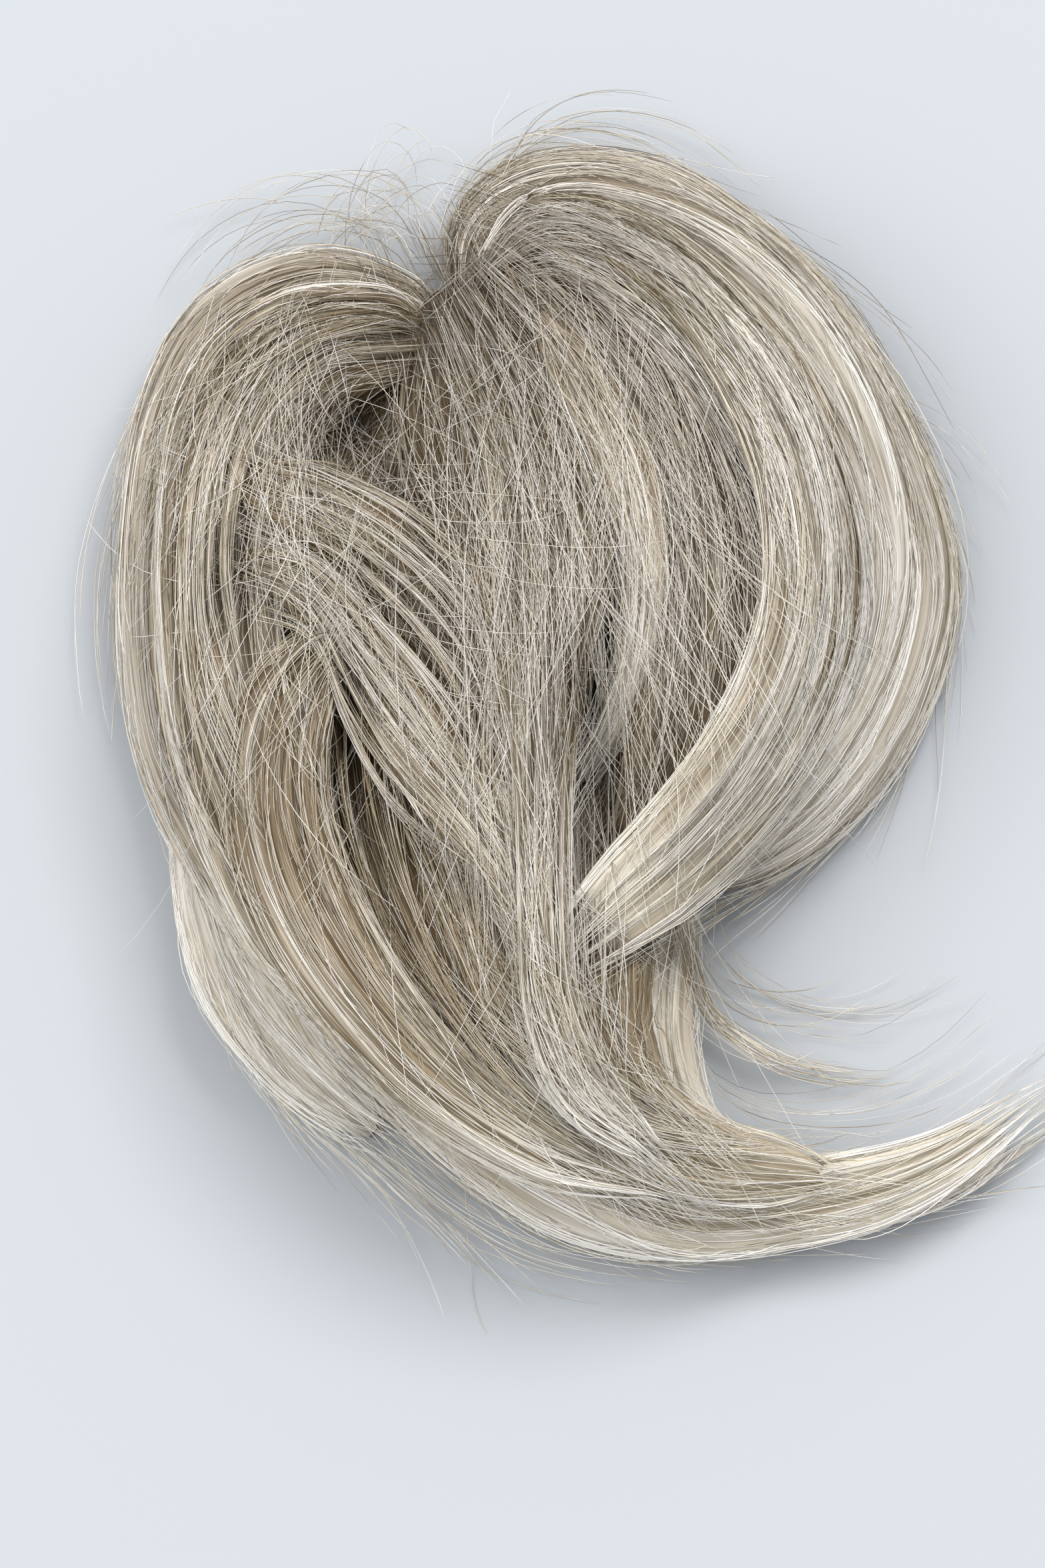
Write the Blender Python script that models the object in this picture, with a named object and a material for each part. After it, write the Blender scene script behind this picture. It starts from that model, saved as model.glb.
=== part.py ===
"""Top knot hairpiece of ash-blonde hair, lying loose on a table.

The hair springs from a small stitched base, rises over a rounded mass of inner hair and falls in
separate locks, which sweep round both sides and gather in a tail that runs off to +X.

Places are shares of SPREAD_WIDTH (across, towards +X) and SPREAD_RISE (up, away from the
tail), read square to a line of sight that stands SIGHT_ANGLE above the table. Heights are
above the table. picture_to_table() turns these into x, y and z, in metres.
"""

import math

import bmesh
import bpy
import numpy as np
from mathutils import Matrix

# Overall sizes, in metres
SPREAD_WIDTH = 0.158
SPREAD_RISE = 0.194
CREST_HEIGHT = 0.034
SIGHT_ANGLE = math.radians(68)

# Sizes that all locks share
LOCK_WIDTH = 0.024
LOCK_DEPTH = 0.009
LAYER = 0.004
CLEARANCE = 0.0007
RIB_SHARE = 0.10
RIBS_ACROSS = 3
SECTION_LENGTH = 0.0135
LEAST_SECTIONS = 10
TOP_POINTS = 9
UNDER_POINTS = 3
BELLY_SHARE = 0.35
ARCH_POWER = 2.4
BEND_SHARE = 0.75
SEAT_INSET = 0.26
TIP_SHARE = 0.12
TIP_BREADTH = 0.45
TIP_DEPTH = 0.35
CURVE_STEPS = 16
WELD = 0.00002

# How the locks stack. A lock sinks into what is under it by SINK_SHARE of its depth
STACK_STEP = 0.001
STACK_MARGIN = 20
STACK_SIZE = 250
STACK_SECTIONS = 240
STACK_POINTS = 40
STACK_BREADTH = 0.7
SINK_SHARE = 0.35
LIFT_BLURS = 2

# The inner hair, a mound under the locks
INNER_SPOKES = 30
INNER_RINGS = 9
INNER_CENTRE = (0.42, 0.56)
INNER_LEAST_HEIGHT = 0.0025

# The stitched base, set into the underside of the inner hair
BASE_LENGTH = 0.052
BASE_WIDTH = 0.038
BASE_THICKNESS = 0.003
BASE_EDGE = 0.0008
BASE_PLACE = (0.42, 0.62)
BASE_SIDES = 24

# Rounded heaps that make up the height of the pile: across, up, half across, half up, and height
# as a share of CREST_HEIGHT
HEAPS = (
    (0.57, 0.66, 0.35, 0.34, 1.00),
    (0.22, 0.64, 0.24, 0.29, 0.80),
    (0.36, 0.36, 0.33, 0.32, 0.66),
    (0.15, 0.31, 0.14, 0.18, 0.36),
    (0.52, 0.15, 0.25, 0.15, 0.34),
    (0.80, 0.12, 0.26, 0.08, 0.14),
)
HEAP_BLEND = 3.0

# Hollows between the locks: across, up, half across, half up, and depth as a share of CREST_HEIGHT,
# which takes off HOLLOW_LIMIT of the height there at most
HOLLOWS = (
    (0.255, 0.720, 0.050, 0.045, 0.38),
    (0.125, 0.600, 0.030, 0.045, 0.26),
    (0.265, 0.490, 0.020, 0.040, 0.22),
    (0.490, 0.500, 0.035, 0.055, 0.30),
    (0.345, 0.900, 0.035, 0.060, 0.40),
)
HOLLOW_LIMIT = 0.5

# Edge of the inner hair, anticlockwise from its right: across and up
INNER_EDGE = (
    (0.83, 0.60),
    (0.78, 0.76),
    (0.68, 0.87),
    (0.54, 0.92),
    (0.42, 0.89),
    (0.33, 0.80),
    (0.22, 0.84),
    (0.11, 0.77),
    (0.05, 0.64),
    (0.06, 0.50),
    (0.11, 0.38),
    (0.17, 0.28),
    (0.27, 0.19),
    (0.40, 0.12),
    (0.53, 0.10),
    (0.57, 0.18),
    (0.58, 0.30),
    (0.71, 0.41),
    (0.80, 0.49),
)

# Locks, the lowest first. Width and depth are shares of LOCK_WIDTH and LOCK_DEPTH. A row is across,
# up, breadth and thickness as shares of the lock's own width and depth, and lift, which is how many
# LAYERs its underside lies above what is under it. A seated lock has its underside on the table
LOCKS = {
    "blunt_lock": {
        "width": 1.08,
        "depth": 1.00,
        "tint": "cream",
        "seated": True,
        "rows": (
            (0.120, 0.450, 0.35, 0.55, 0.10),
            (0.124, 0.385, 0.55, 0.85, 0.10),
            (0.146, 0.322, 0.75, 1.00, 0.10),
            (0.174, 0.268, 0.82, 0.90, 0.10),
            (0.216, 0.218, 0.72, 0.70, 0.10),
            (0.267, 0.174, 0.55, 0.50, 0.10),
            (0.325, 0.137, 0.35, 0.30, 0.10),
        ),
    },
    "left_roll": {
        "width": 0.92,
        "depth": 1.22,
        "tint": "ash",
        "seated": True,
        "rows": (
            (0.340, 0.815, 0.45, 0.60, 0.10),
            (0.305, 0.838, 0.70, 0.85, 0.10),
            (0.225, 0.842, 0.90, 1.00, 0.10),
            (0.140, 0.805, 0.90, 1.00, 0.10),
            (0.089, 0.735, 0.75, 1.00, 0.10),
            (0.069, 0.643, 0.65, 1.00, 0.10),
            (0.069, 0.546, 0.65, 1.00, 0.10),
            (0.086, 0.462, 0.65, 0.90, 0.10),
            (0.134, 0.380, 0.60, 0.80, 0.10),
            (0.200, 0.298, 0.58, 0.75, 0.10),
            (0.300, 0.222, 0.58, 0.80, 0.10),
            (0.395, 0.142, 0.58, 0.80, 0.10),
            (0.495, 0.086, 0.58, 0.75, 0.10),
            (0.605, 0.062, 0.50, 0.60, 0.10),
            (0.720, 0.072, 0.38, 0.45, 0.10),
            (0.830, 0.090, 0.22, 0.25, 0.10),
        ),
    },
    "tail_lock": {
        "width": 0.71,
        "depth": 0.89,
        "tint": "cream",
        "seated": True,
        "rows": (
            (0.610, 0.350, 0.50, 0.60, 0.10),
            (0.580, 0.282, 0.75, 0.85, 0.10),
            (0.577, 0.205, 0.78, 1.00, 0.10),
            (0.610, 0.138, 0.70, 0.95, 0.10),
            (0.690, 0.094, 0.60, 0.80, 0.10),
            (0.790, 0.084, 0.48, 0.65, 0.10),
            (0.890, 0.108, 0.46, 0.45, 0.10),
            (0.980, 0.162, 0.38, 0.25, 0.10),
        ),
    },
    "right_outer_roll": {
        "width": 1.00,
        "depth": 1.22,
        "tint": "ash",
        "seated": True,
        "rows": (
            (0.378, 0.850, 0.40, 0.60, 0.10),
            (0.405, 0.905, 0.60, 0.80, 0.10),
            (0.470, 0.928, 0.72, 0.90, 0.10),
            (0.560, 0.921, 0.78, 0.95, 0.10),
            (0.638, 0.881, 0.80, 1.00, 0.10),
            (0.708, 0.828, 0.80, 1.00, 0.10),
            (0.768, 0.755, 0.82, 1.00, 0.10),
            (0.812, 0.675, 0.85, 1.00, 0.10),
            (0.830, 0.597, 0.85, 1.00, 0.10),
            (0.805, 0.512, 0.80, 1.00, 0.10),
            (0.754, 0.438, 0.70, 0.90, 0.10),
            (0.680, 0.382, 0.60, 0.75, 0.10),
            (0.600, 0.342, 0.45, 0.50, 0.10),
        ),
    },
    "pocket_roll": {
        "width": 0.83,
        "depth": 1.00,
        "tint": "taupe",
        "rows": (
            (0.345, 0.800, 0.45, 0.60, 0.10),
            (0.305, 0.795, 0.65, 0.80, 0.10),
            (0.240, 0.785, 0.85, 1.00, 0.10),
            (0.175, 0.735, 0.85, 1.00, 0.10),
            (0.145, 0.660, 0.80, 1.00, 0.10),
            (0.140, 0.575, 0.80, 0.90, 0.10),
            (0.150, 0.490, 0.80, 0.80, 0.10),
            (0.170, 0.410, 0.70, 0.70, 0.10),
            (0.200, 0.340, 0.50, 0.50, 0.10),
        ),
    },
    "left_inner_roll": {
        "width": 0.75,
        "depth": 1.00,
        "tint": "beige",
        "rows": (
            (0.335, 0.825, 0.40, 0.50, 0.10),
            (0.285, 0.832, 0.55, 0.75, 0.10),
            (0.205, 0.820, 0.65, 0.90, 0.10),
            (0.140, 0.780, 0.65, 1.00, 0.10),
            (0.105, 0.715, 0.60, 1.00, 0.10),
            (0.094, 0.635, 0.60, 1.00, 0.10),
            (0.098, 0.555, 0.62, 0.90, 0.10),
            (0.115, 0.470, 0.68, 0.85, 0.10),
            (0.148, 0.385, 0.75, 0.85, 0.10),
            (0.205, 0.300, 0.80, 0.85, 0.10),
            (0.295, 0.235, 0.80, 0.85, 0.10),
            (0.390, 0.168, 0.85, 0.80, 0.10),
            (0.490, 0.116, 0.85, 0.75, 0.10),
            (0.610, 0.075, 0.85, 0.60, 0.10),
            (0.740, 0.080, 0.75, 0.50, 0.10),
            (0.860, 0.108, 0.60, 0.35, 0.10),
            (0.975, 0.165, 0.35, 0.20, 0.10),
        ),
    },
    "under_fall": {
        "width": 1.00,
        "depth": 0.89,
        "tint": "brown",
        "rows": (
            (0.280, 0.560, 0.50, 0.60, 0.10),
            (0.290, 0.480, 0.75, 0.90, 0.10),
            (0.315, 0.390, 0.90, 1.00, 0.10),
            (0.355, 0.300, 0.90, 1.00, 0.10),
            (0.415, 0.215, 0.80, 0.90, 0.10),
            (0.495, 0.150, 0.65, 0.70, 0.10),
            (0.590, 0.112, 0.45, 0.45, 0.10),
        ),
    },
    "inner_fall": {
        "width": 0.92,
        "depth": 0.89,
        "tint": "brown",
        "rows": (
            (0.350, 0.540, 0.50, 0.60, 0.10),
            (0.375, 0.460, 0.80, 0.90, 0.10),
            (0.405, 0.370, 0.90, 1.00, 0.10),
            (0.430, 0.280, 0.85, 0.95, 0.10),
            (0.465, 0.200, 0.75, 0.80, 0.10),
            (0.530, 0.135, 0.50, 0.45, 0.10),
        ),
    },
    "left_loop": {
        "width": 0.79,
        "depth": 1.00,
        "tint": "beige",
        "rows": (
            (0.270, 0.550, 0.45, 0.55, 0.10),
            (0.225, 0.530, 0.70, 0.85, 0.10),
            (0.190, 0.470, 0.90, 1.00, 0.10),
            (0.188, 0.395, 0.95, 1.00, 0.10),
            (0.220, 0.320, 0.95, 1.00, 0.10),
            (0.280, 0.245, 0.85, 0.90, 0.10),
            (0.360, 0.178, 0.75, 0.80, 0.10),
            (0.460, 0.125, 0.60, 0.60, 0.10),
            (0.570, 0.095, 0.40, 0.40, 0.10),
        ),
    },
    "lower_fall": {
        "width": 0.88,
        "depth": 1.00,
        "tint": "brown",
        "rows": (
            (0.540, 0.345, 0.60, 0.60, 0.10),
            (0.518, 0.280, 0.85, 0.90, 0.10),
            (0.520, 0.210, 0.90, 1.00, 0.10),
            (0.560, 0.150, 0.75, 0.90, 0.10),
            (0.640, 0.112, 0.60, 0.70, 0.10),
            (0.750, 0.100, 0.40, 0.40, 0.10),
        ),
    },
    "right_middle_roll": {
        "width": 0.92,
        "depth": 1.00,
        "tint": "grey",
        "rows": (
            (0.400, 0.870, 0.40, 0.50, 0.10),
            (0.460, 0.910, 0.65, 0.80, 0.10),
            (0.550, 0.900, 0.80, 0.95, 0.10),
            (0.640, 0.860, 0.90, 1.00, 0.10),
            (0.715, 0.795, 0.92, 1.00, 0.10),
            (0.765, 0.715, 0.90, 1.00, 0.10),
            (0.790, 0.625, 0.88, 1.00, 0.10),
            (0.776, 0.543, 0.85, 1.00, 0.10),
            (0.728, 0.464, 0.80, 0.95, 0.10),
            (0.655, 0.390, 0.70, 0.80, 0.10),
            (0.565, 0.335, 0.55, 0.50, 0.10),
        ),
    },
    "crown_veil": {
        "width": 1.25,
        "depth": 0.89,
        "tint": "taupe",
        "rows": (
            (0.410, 0.840, 0.40, 0.50, 0.10),
            (0.480, 0.840, 0.70, 0.80, 0.10),
            (0.560, 0.780, 0.95, 1.00, 0.10),
            (0.620, 0.700, 1.00, 1.00, 0.10),
            (0.648, 0.610, 0.95, 1.00, 0.10),
            (0.640, 0.520, 0.85, 0.95, 0.10),
            (0.603, 0.440, 0.70, 0.80, 0.10),
            (0.555, 0.370, 0.50, 0.50, 0.10),
        ),
    },
    "swoop": {
        "width": 0.75,
        "depth": 1.00,
        "tint": "cream",
        "rows": (
            (0.445, 0.925, 0.40, 0.50, 0.10),
            (0.530, 0.900, 0.60, 0.75, 0.10),
            (0.620, 0.845, 0.70, 0.90, 0.10),
            (0.690, 0.770, 0.80, 1.00, 0.10),
            (0.732, 0.685, 0.85, 1.00, 0.10),
            (0.742, 0.595, 0.90, 1.00, 0.10),
            (0.718, 0.510, 0.95, 1.00, 0.10),
            (0.668, 0.435, 1.00, 1.00, 0.10),
            (0.600, 0.370, 1.00, 0.95, 0.10),
            (0.533, 0.320, 0.95, 0.75, 0.10),
            (0.478, 0.280, 0.85, 0.45, 0.10),
        ),
    },
    "crossing_lock": {
        "width": 0.67,
        "depth": 0.78,
        "tint": "beige",
        "rows": (
            (0.140, 0.690, 0.60, 0.50, 0.10),
            (0.220, 0.660, 0.85, 0.85, 0.10),
            (0.300, 0.618, 0.95, 1.00, 0.10),
            (0.368, 0.560, 1.00, 1.00, 0.10),
            (0.412, 0.490, 0.90, 1.00, 0.10),
            (0.435, 0.410, 0.65, 0.85, 0.10),
            (0.447, 0.330, 0.40, 0.50, 0.10),
        ),
    },
    "lower_crossing_lock": {
        "width": 0.58,
        "depth": 0.67,
        "tint": "cream",
        "rows": (
            (0.150, 0.620, 0.50, 0.50, 0.10),
            (0.220, 0.595, 0.75, 0.85, 0.10),
            (0.275, 0.535, 0.90, 1.00, 0.10),
            (0.330, 0.470, 1.00, 1.00, 0.10),
            (0.385, 0.410, 0.90, 1.00, 0.10),
            (0.430, 0.350, 0.65, 0.80, 0.10),
            (0.452, 0.290, 0.40, 0.50, 0.10),
        ),
    },
    "centre_fall": {
        "width": 1.50,
        "depth": 0.89,
        "tint": "ash",
        "rows": (
            (0.355, 0.850, 0.40, 0.50, 0.10),
            (0.390, 0.790, 0.80, 0.80, 0.10),
            (0.428, 0.715, 1.00, 1.00, 0.10),
            (0.445, 0.635, 0.85, 1.00, 0.10),
            (0.452, 0.555, 0.55, 1.00, 0.30),
            (0.455, 0.475, 0.34, 1.00, 0.40),
            (0.457, 0.395, 0.27, 0.95, 0.40),
            (0.460, 0.310, 0.25, 0.90, 0.40),
            (0.468, 0.240, 0.26, 0.80, 0.40),
            (0.500, 0.175, 0.26, 0.70, 0.40),
            (0.560, 0.130, 0.22, 0.50, 0.40),
        ),
    },
    "pale_curl": {
        "width": 0.58,
        "depth": 0.67,
        "tint": "cream",
        "rows": (
            (0.455, 0.830, 0.42, 0.50, 0.10),
            (0.502, 0.768, 0.62, 0.80, 0.10),
            (0.543, 0.697, 0.60, 1.00, 0.10),
            (0.565, 0.620, 0.53, 1.00, 0.10),
            (0.560, 0.548, 0.47, 1.00, 0.10),
            (0.535, 0.485, 0.42, 0.95, 0.10),
            (0.496, 0.430, 0.36, 0.60, 0.10),
        ),
    },
}

# Colours of the hair, linear red, green and blue
TINTS = {
    "cream": (0.66, 0.60, 0.47),
    "beige": (0.52, 0.46, 0.35),
    "ash": (0.46, 0.42, 0.33),
    "grey": (0.50, 0.47, 0.40),
    "taupe": (0.36, 0.32, 0.24),
    "brown": (0.33, 0.27, 0.17),
    "under": (0.20, 0.16, 0.10),
    "base": (0.30, 0.26, 0.20),
}
HAIR_ROUGHNESS = 0.45
BASE_ROUGHNESS = 0.9


def clear_scene():
    for thing in list(bpy.data.objects):
        bpy.data.objects.remove(thing)


def material(tint, roughness):
    """One finish for each tint, shared by the sub-parts that have it."""
    found = bpy.data.materials.get(tint)
    if found:
        return found
    made = bpy.data.materials.new(tint)
    made.use_nodes = True
    shader = made.node_tree.nodes["Principled BSDF"]
    shader.inputs["Base Color"].default_value = (*TINTS[tint], 1.0)
    shader.inputs["Roughness"].default_value = roughness
    shader.inputs["Metallic"].default_value = 0.0
    return made


def picture_to_table(points):
    """Points seen along the line of sight, with their heights, as x, y and z."""
    across, up, height = points.T
    depth = (up - height * math.cos(SIGHT_ANGLE)) / math.sin(SIGHT_ANGLE)
    return np.column_stack((across, depth, height))


def pile_height(across, up):
    """Height of the pile at places in metres: blended heaps, less the hollows."""
    total = np.zeros(np.shape(across))
    for x, y, half_x, half_y, height in HEAPS:
        far = ((across / SPREAD_WIDTH - x) / half_x) ** 2 + ((up / SPREAD_RISE - y) / half_y) ** 2
        total = total + np.clip(height * (1 - far), 0, None) ** HEAP_BLEND
    total = total ** (1 / HEAP_BLEND)
    for x, y, half_x, half_y, depth in HOLLOWS:
        far = ((across / SPREAD_WIDTH - x) / half_x) ** 2 + ((up / SPREAD_RISE - y) / half_y) ** 2
        total = total - np.minimum(depth, HOLLOW_LIMIT * total) * np.exp(-far)
    return CREST_HEIGHT * total


def smooth_rows(rows, count, closed=False):
    """count rows on a smooth curve through the given rows, evenly spaced along it."""
    rows = np.array(rows, float)
    if closed:
        padded = np.vstack((rows[-1], rows, rows[:2]))
    else:
        padded = np.vstack((2 * rows[0] - rows[1], rows, 2 * rows[-1] - rows[-2]))
    fine = []
    share = np.linspace(0, 1, CURVE_STEPS, endpoint=False)[:, None]
    for a, b, c, d in zip(padded, padded[1:], padded[2:], padded[3:]):
        fine.append(
            0.5 * (2 * b + (c - a) * share + (2 * a - 5 * b + 4 * c - d) * share**2
                   + (3 * b - a - 3 * c + d) * share**3)
        )
    fine = np.vstack(fine + [padded[-2:-1]])
    steps = np.linalg.norm(np.diff(fine[:, :2] * (SPREAD_WIDTH, SPREAD_RISE), axis=0), axis=1)
    along = np.concatenate(([0], np.cumsum(steps)))
    wanted = np.linspace(0, along[-1], count, endpoint=not closed)
    return np.column_stack([np.interp(wanted, along, column) for column in fine.T])


def lock_sections(lock):
    """How many sections the lock has, by its length."""
    places = np.array(lock["rows"])[:, :2] * (SPREAD_WIDTH, SPREAD_RISE)
    length = np.linalg.norm(np.diff(places, axis=0), axis=1).sum()
    return max(LEAST_SECTIONS, round(length / SECTION_LENGTH))


def lay_out(lock, sections):
    """The lock's middle line, its sideways direction, half width, depth and own lift."""
    rows = smooth_rows(lock["rows"], sections)
    middle = rows[:, :2] * (SPREAD_WIDTH, SPREAD_RISE)
    way = np.gradient(middle, axis=0)
    way /= np.linalg.norm(way, axis=1)[:, None]
    side = np.column_stack((-way[:, 1], way[:, 0]))
    turn = np.linalg.norm(np.gradient(way, axis=0), axis=1)
    step = np.linalg.norm(np.gradient(middle, axis=0), axis=1)
    share = np.linspace(0, 1, sections)
    taper = np.clip(np.minimum(share, 1 - share) / TIP_SHARE, 0, 1) ** 0.5
    half = LOCK_WIDTH / 2 * lock["width"] * rows[:, 2] * (TIP_BREADTH + (1 - TIP_BREADTH) * taper)
    half = np.minimum(half, BEND_SHARE * step / np.maximum(turn, 1e-9))
    depth = LOCK_DEPTH * lock["depth"] * rows[:, 3] * (TIP_DEPTH + (1 - TIP_DEPTH) * taper)
    return middle, side, half, depth, LAYER * rows[:, 4]


def spread_over(middle, side, half, place):
    """Places across the lock, from -1 at one edge to 1 at the other."""
    return middle[:, None, :] + (place * half[:, None])[..., None] * side[:, None, :]


def round_over(place):
    """A rounded profile: 1 in the middle and 0 at the edges, which are at -1 and 1."""
    return (1 - np.abs(place) ** ARCH_POWER) ** (1 / ARCH_POWER)


def arch_over(place):
    """Height of the lock's upper side over its edges, as a share, with its ribs."""
    return round_over(place) * (1 + RIB_SHARE * np.cos(math.pi * RIBS_ACROSS * place))


def stack_cells(spot):
    cells = np.round(spot / STACK_STEP).astype(int) + STACK_MARGIN
    return np.clip(cells[..., 0], 0, STACK_SIZE - 1), np.clip(cells[..., 1], 0, STACK_SIZE - 1)


def start_stack():
    """Height of what lies on the table so far, cell by cell: at first only the inner hair."""
    places = (np.arange(STACK_SIZE) - STACK_MARGIN) * STACK_STEP
    across, up = np.meshgrid(places, places, indexing="ij")
    return pile_height(across, up)


def lift_over(lock, stack):
    """How far the lock rises over the pile, along its length, to lie on what is under it."""
    middle, side, half, depth, own = lay_out(lock, lock_sections(lock))
    spot = spread_over(middle, side, half, np.linspace(-STACK_BREADTH, STACK_BREADTH, TOP_POINTS))
    above = stack[stack_cells(spot)] - pile_height(spot[..., 0], spot[..., 1])
    need = np.clip((above.mean(1) + above.max(1)) / 2 - SINK_SHARE * depth, 0, None)
    need = np.maximum(need, np.maximum(np.append(need[1:], 0), np.append(0, need[:-1])))
    for _ in range(LIFT_BLURS):
        padded = np.concatenate((need[:1], need, need[-1:]))
        need = (padded[:-2] + 2 * padded[1:-1] + padded[2:]) / 4
    return need + own


def add_to_stack(stack, lock, lift):
    middle, side, half, depth, _ = lay_out(lock, STACK_SECTIONS)
    lift = np.interp(np.linspace(0, 1, STACK_SECTIONS), np.linspace(0, 1, len(lift)), lift)
    place = np.linspace(-1, 1, STACK_POINTS)
    spot = spread_over(middle, side, half, place)
    top = BELLY_SHARE + (1 - BELLY_SHARE) * arch_over(place)
    height = pile_height(spot[..., 0], spot[..., 1]) + lift[:, None] + depth[:, None] * top
    np.maximum.at(stack, stack_cells(spot), height)


def lock_points(lock, lift, grow):
    """Rings of points round the lock, in picture metres with heights. grow thickens it."""
    middle, side, half, depth, _ = lay_out(lock, len(lift))
    under = np.linspace(1, -1, UNDER_POINTS + 2)[1:-1]
    place = np.concatenate((np.linspace(-1, 1, TOP_POINTS), under))
    spot = spread_over(middle, side, half, place)
    rise = (1 - BELLY_SHARE) * arch_over(place)
    rise[TOP_POINTS:] = -BELLY_SHARE * round_over(under)
    height = pile_height(spot[..., 0], spot[..., 1]) + lift[:, None]
    height += depth[:, None] * (BELLY_SHARE + rise)
    ends = middle[[0, -1]] - middle[[1, -2]]
    spot += grow * place[None, :, None] * side[:, None, :]
    spot[[0, -1]] += grow * (ends / np.linalg.norm(ends, axis=1)[:, None])[:, None, :]
    height += grow * np.concatenate(([0], np.ones(TOP_POINTS - 2), [0], -np.ones(UNDER_POINTS)))
    return np.dstack((spot, height))


def solid_from_rings(name, rings):
    """A closed skin over rings of points, with a flat cap at each end."""
    count, around = rings.shape[:2]
    mesh = bpy.data.meshes.new(name)
    shape = bmesh.new()
    corners = [[shape.verts.new(point) for point in ring] for ring in rings]
    for i in range(count - 1):
        for j in range(around):
            k = (j + 1) % around
            shape.faces.new((corners[i][j], corners[i][k], corners[i + 1][k], corners[i + 1][j]))
    shape.faces.new(reversed(corners[0]))
    shape.faces.new(corners[-1])
    bmesh.ops.recalc_face_normals(shape, faces=shape.faces)
    bmesh.ops.triangulate(shape, faces=shape.faces)
    shape.to_mesh(mesh)
    shape.free()
    return mesh


def add_object(name, mesh, tint, roughness=HAIR_ROUGHNESS):
    made = bpy.data.objects.new(name, mesh)
    bpy.context.scene.collection.objects.link(made)
    mesh.materials.append(material(tint, roughness))
    return made


def make_lock(name, lift, grow=0.0):
    lock = LOCKS[name]
    rings = lock_points(lock, lift, grow)
    rings = picture_to_table(rings.reshape(-1, 3)).reshape(rings.shape)
    if lock.get("seated"):
        share = np.linspace(1 - SEAT_INSET, SEAT_INSET, UNDER_POINTS)[:, None]
        first, last = rings[:, :1], rings[:, TOP_POINTS - 1 : TOP_POINTS]
        rings[:, TOP_POINTS:] = first + (last - first) * share
        rings[:, TOP_POINTS:, 2] = -grow
    return add_object(name, solid_from_rings(name, rings), lock["tint"])


def make_inner_hair(grow=0.0):
    """The hair under the locks: a mound on the pile's height, with a flat underside."""
    centre = np.array(INNER_CENTRE) * (SPREAD_WIDTH, SPREAD_RISE)
    edge = smooth_rows(INNER_EDGE, INNER_SPOKES, closed=True) * (SPREAD_WIDTH, SPREAD_RISE)
    edge += (edge - centre) * (grow / np.linalg.norm(edge - centre, axis=1))[:, None]
    rings = []
    for ring in range(INNER_RINGS, 0, -1):
        spot = centre + (edge - centre) * (ring / INNER_RINGS)
        height = np.maximum(pile_height(*spot.T), INNER_LEAST_HEIGHT) + grow
        rings.append(picture_to_table(np.column_stack((spot, height))))
    foot = rings[0] * (1, 1, 0) - (0, 0, grow)
    mesh = solid_from_rings("inner_hair", np.array([foot] + rings))
    return add_object("inner_hair", mesh, "under")


def make_base(grow=0.0):
    """The stitched oval pad that the hair springs from, flush with the underside."""
    place = np.array(BASE_PLACE) * (SPREAD_WIDTH, SPREAD_RISE)
    centre = picture_to_table(np.array([[*place, 0.0]]))[0]
    turn = np.linspace(0, 2 * math.pi, BASE_SIDES, endpoint=False)
    rings = []
    for inset, height in (
        (BASE_EDGE, -grow),
        (0.0, BASE_EDGE),
        (0.0, BASE_THICKNESS - BASE_EDGE),
        (BASE_EDGE, BASE_THICKNESS + grow),
    ):
        half_x = BASE_LENGTH / 2 - inset + grow
        half_y = BASE_WIDTH / 2 - inset + grow
        level = np.full(BASE_SIDES, height)
        ring = np.column_stack((half_x * np.cos(turn), half_y * np.sin(turn), level))
        rings.append(ring + centre)
    mesh = solid_from_rings("weft_base", np.array(rings))
    return add_object("weft_base", mesh, "base", BASE_ROUGHNESS)


def boxes_meet(one, other):
    low_one, high_one = np.array(one.bound_box).min(0), np.array(one.bound_box).max(0)
    low_other, high_other = np.array(other.bound_box).min(0), np.array(other.bound_box).max(0)
    return bool((low_one < high_other).all() and (low_other < high_one).all())


def largest_piece(shape):
    """The set of faces of the largest connected piece of the mesh."""
    left = set(shape.faces)
    largest = set()
    while left:
        waiting = [left.pop()]
        piece = set(waiting)
        while waiting:
            for edge in waiting.pop().edges:
                for face in edge.link_faces if len(edge.link_faces) == 2 else ():
                    if face in left:
                        left.remove(face)
                        piece.add(face)
                        waiting.append(face)
        if sum(face.calc_area() for face in piece) > sum(face.calc_area() for face in largest):
            largest = piece
    return largest


def cut_away(thing, cutters):
    """Cuts the cutters out of thing, so that it lies on them with a small gap."""
    for cutter in cutters:
        if boxes_meet(thing, cutter):
            cut = thing.modifiers.new("clear of " + cutter.name, "BOOLEAN")
            cut.operation = "DIFFERENCE"
            cut.solver = "EXACT"
            cut.object = cutter
    bpy.context.view_layer.update()
    graph = bpy.context.evaluated_depsgraph_get()
    mesh = bpy.data.meshes.new_from_object(thing.evaluated_get(graph))
    thing.modifiers.clear()
    thing.data = mesh
    shape = bmesh.new()
    shape.from_mesh(mesh)
    bmesh.ops.triangulate(shape, faces=shape.faces)
    bmesh.ops.dissolve_degenerate(shape, dist=WELD, edges=shape.edges)
    bmesh.ops.triangulate(shape, faces=shape.faces)
    kept = largest_piece(shape)
    crumbs = [face for face in shape.faces if face not in kept]
    bmesh.ops.delete(shape, geom=crumbs, context="FACES")
    shape.to_mesh(mesh)
    shape.free()


def as_cutter(thing):
    thing.name += "_cutter"
    thing.hide_render = True
    thing.display_type = "WIRE"
    return thing


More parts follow.
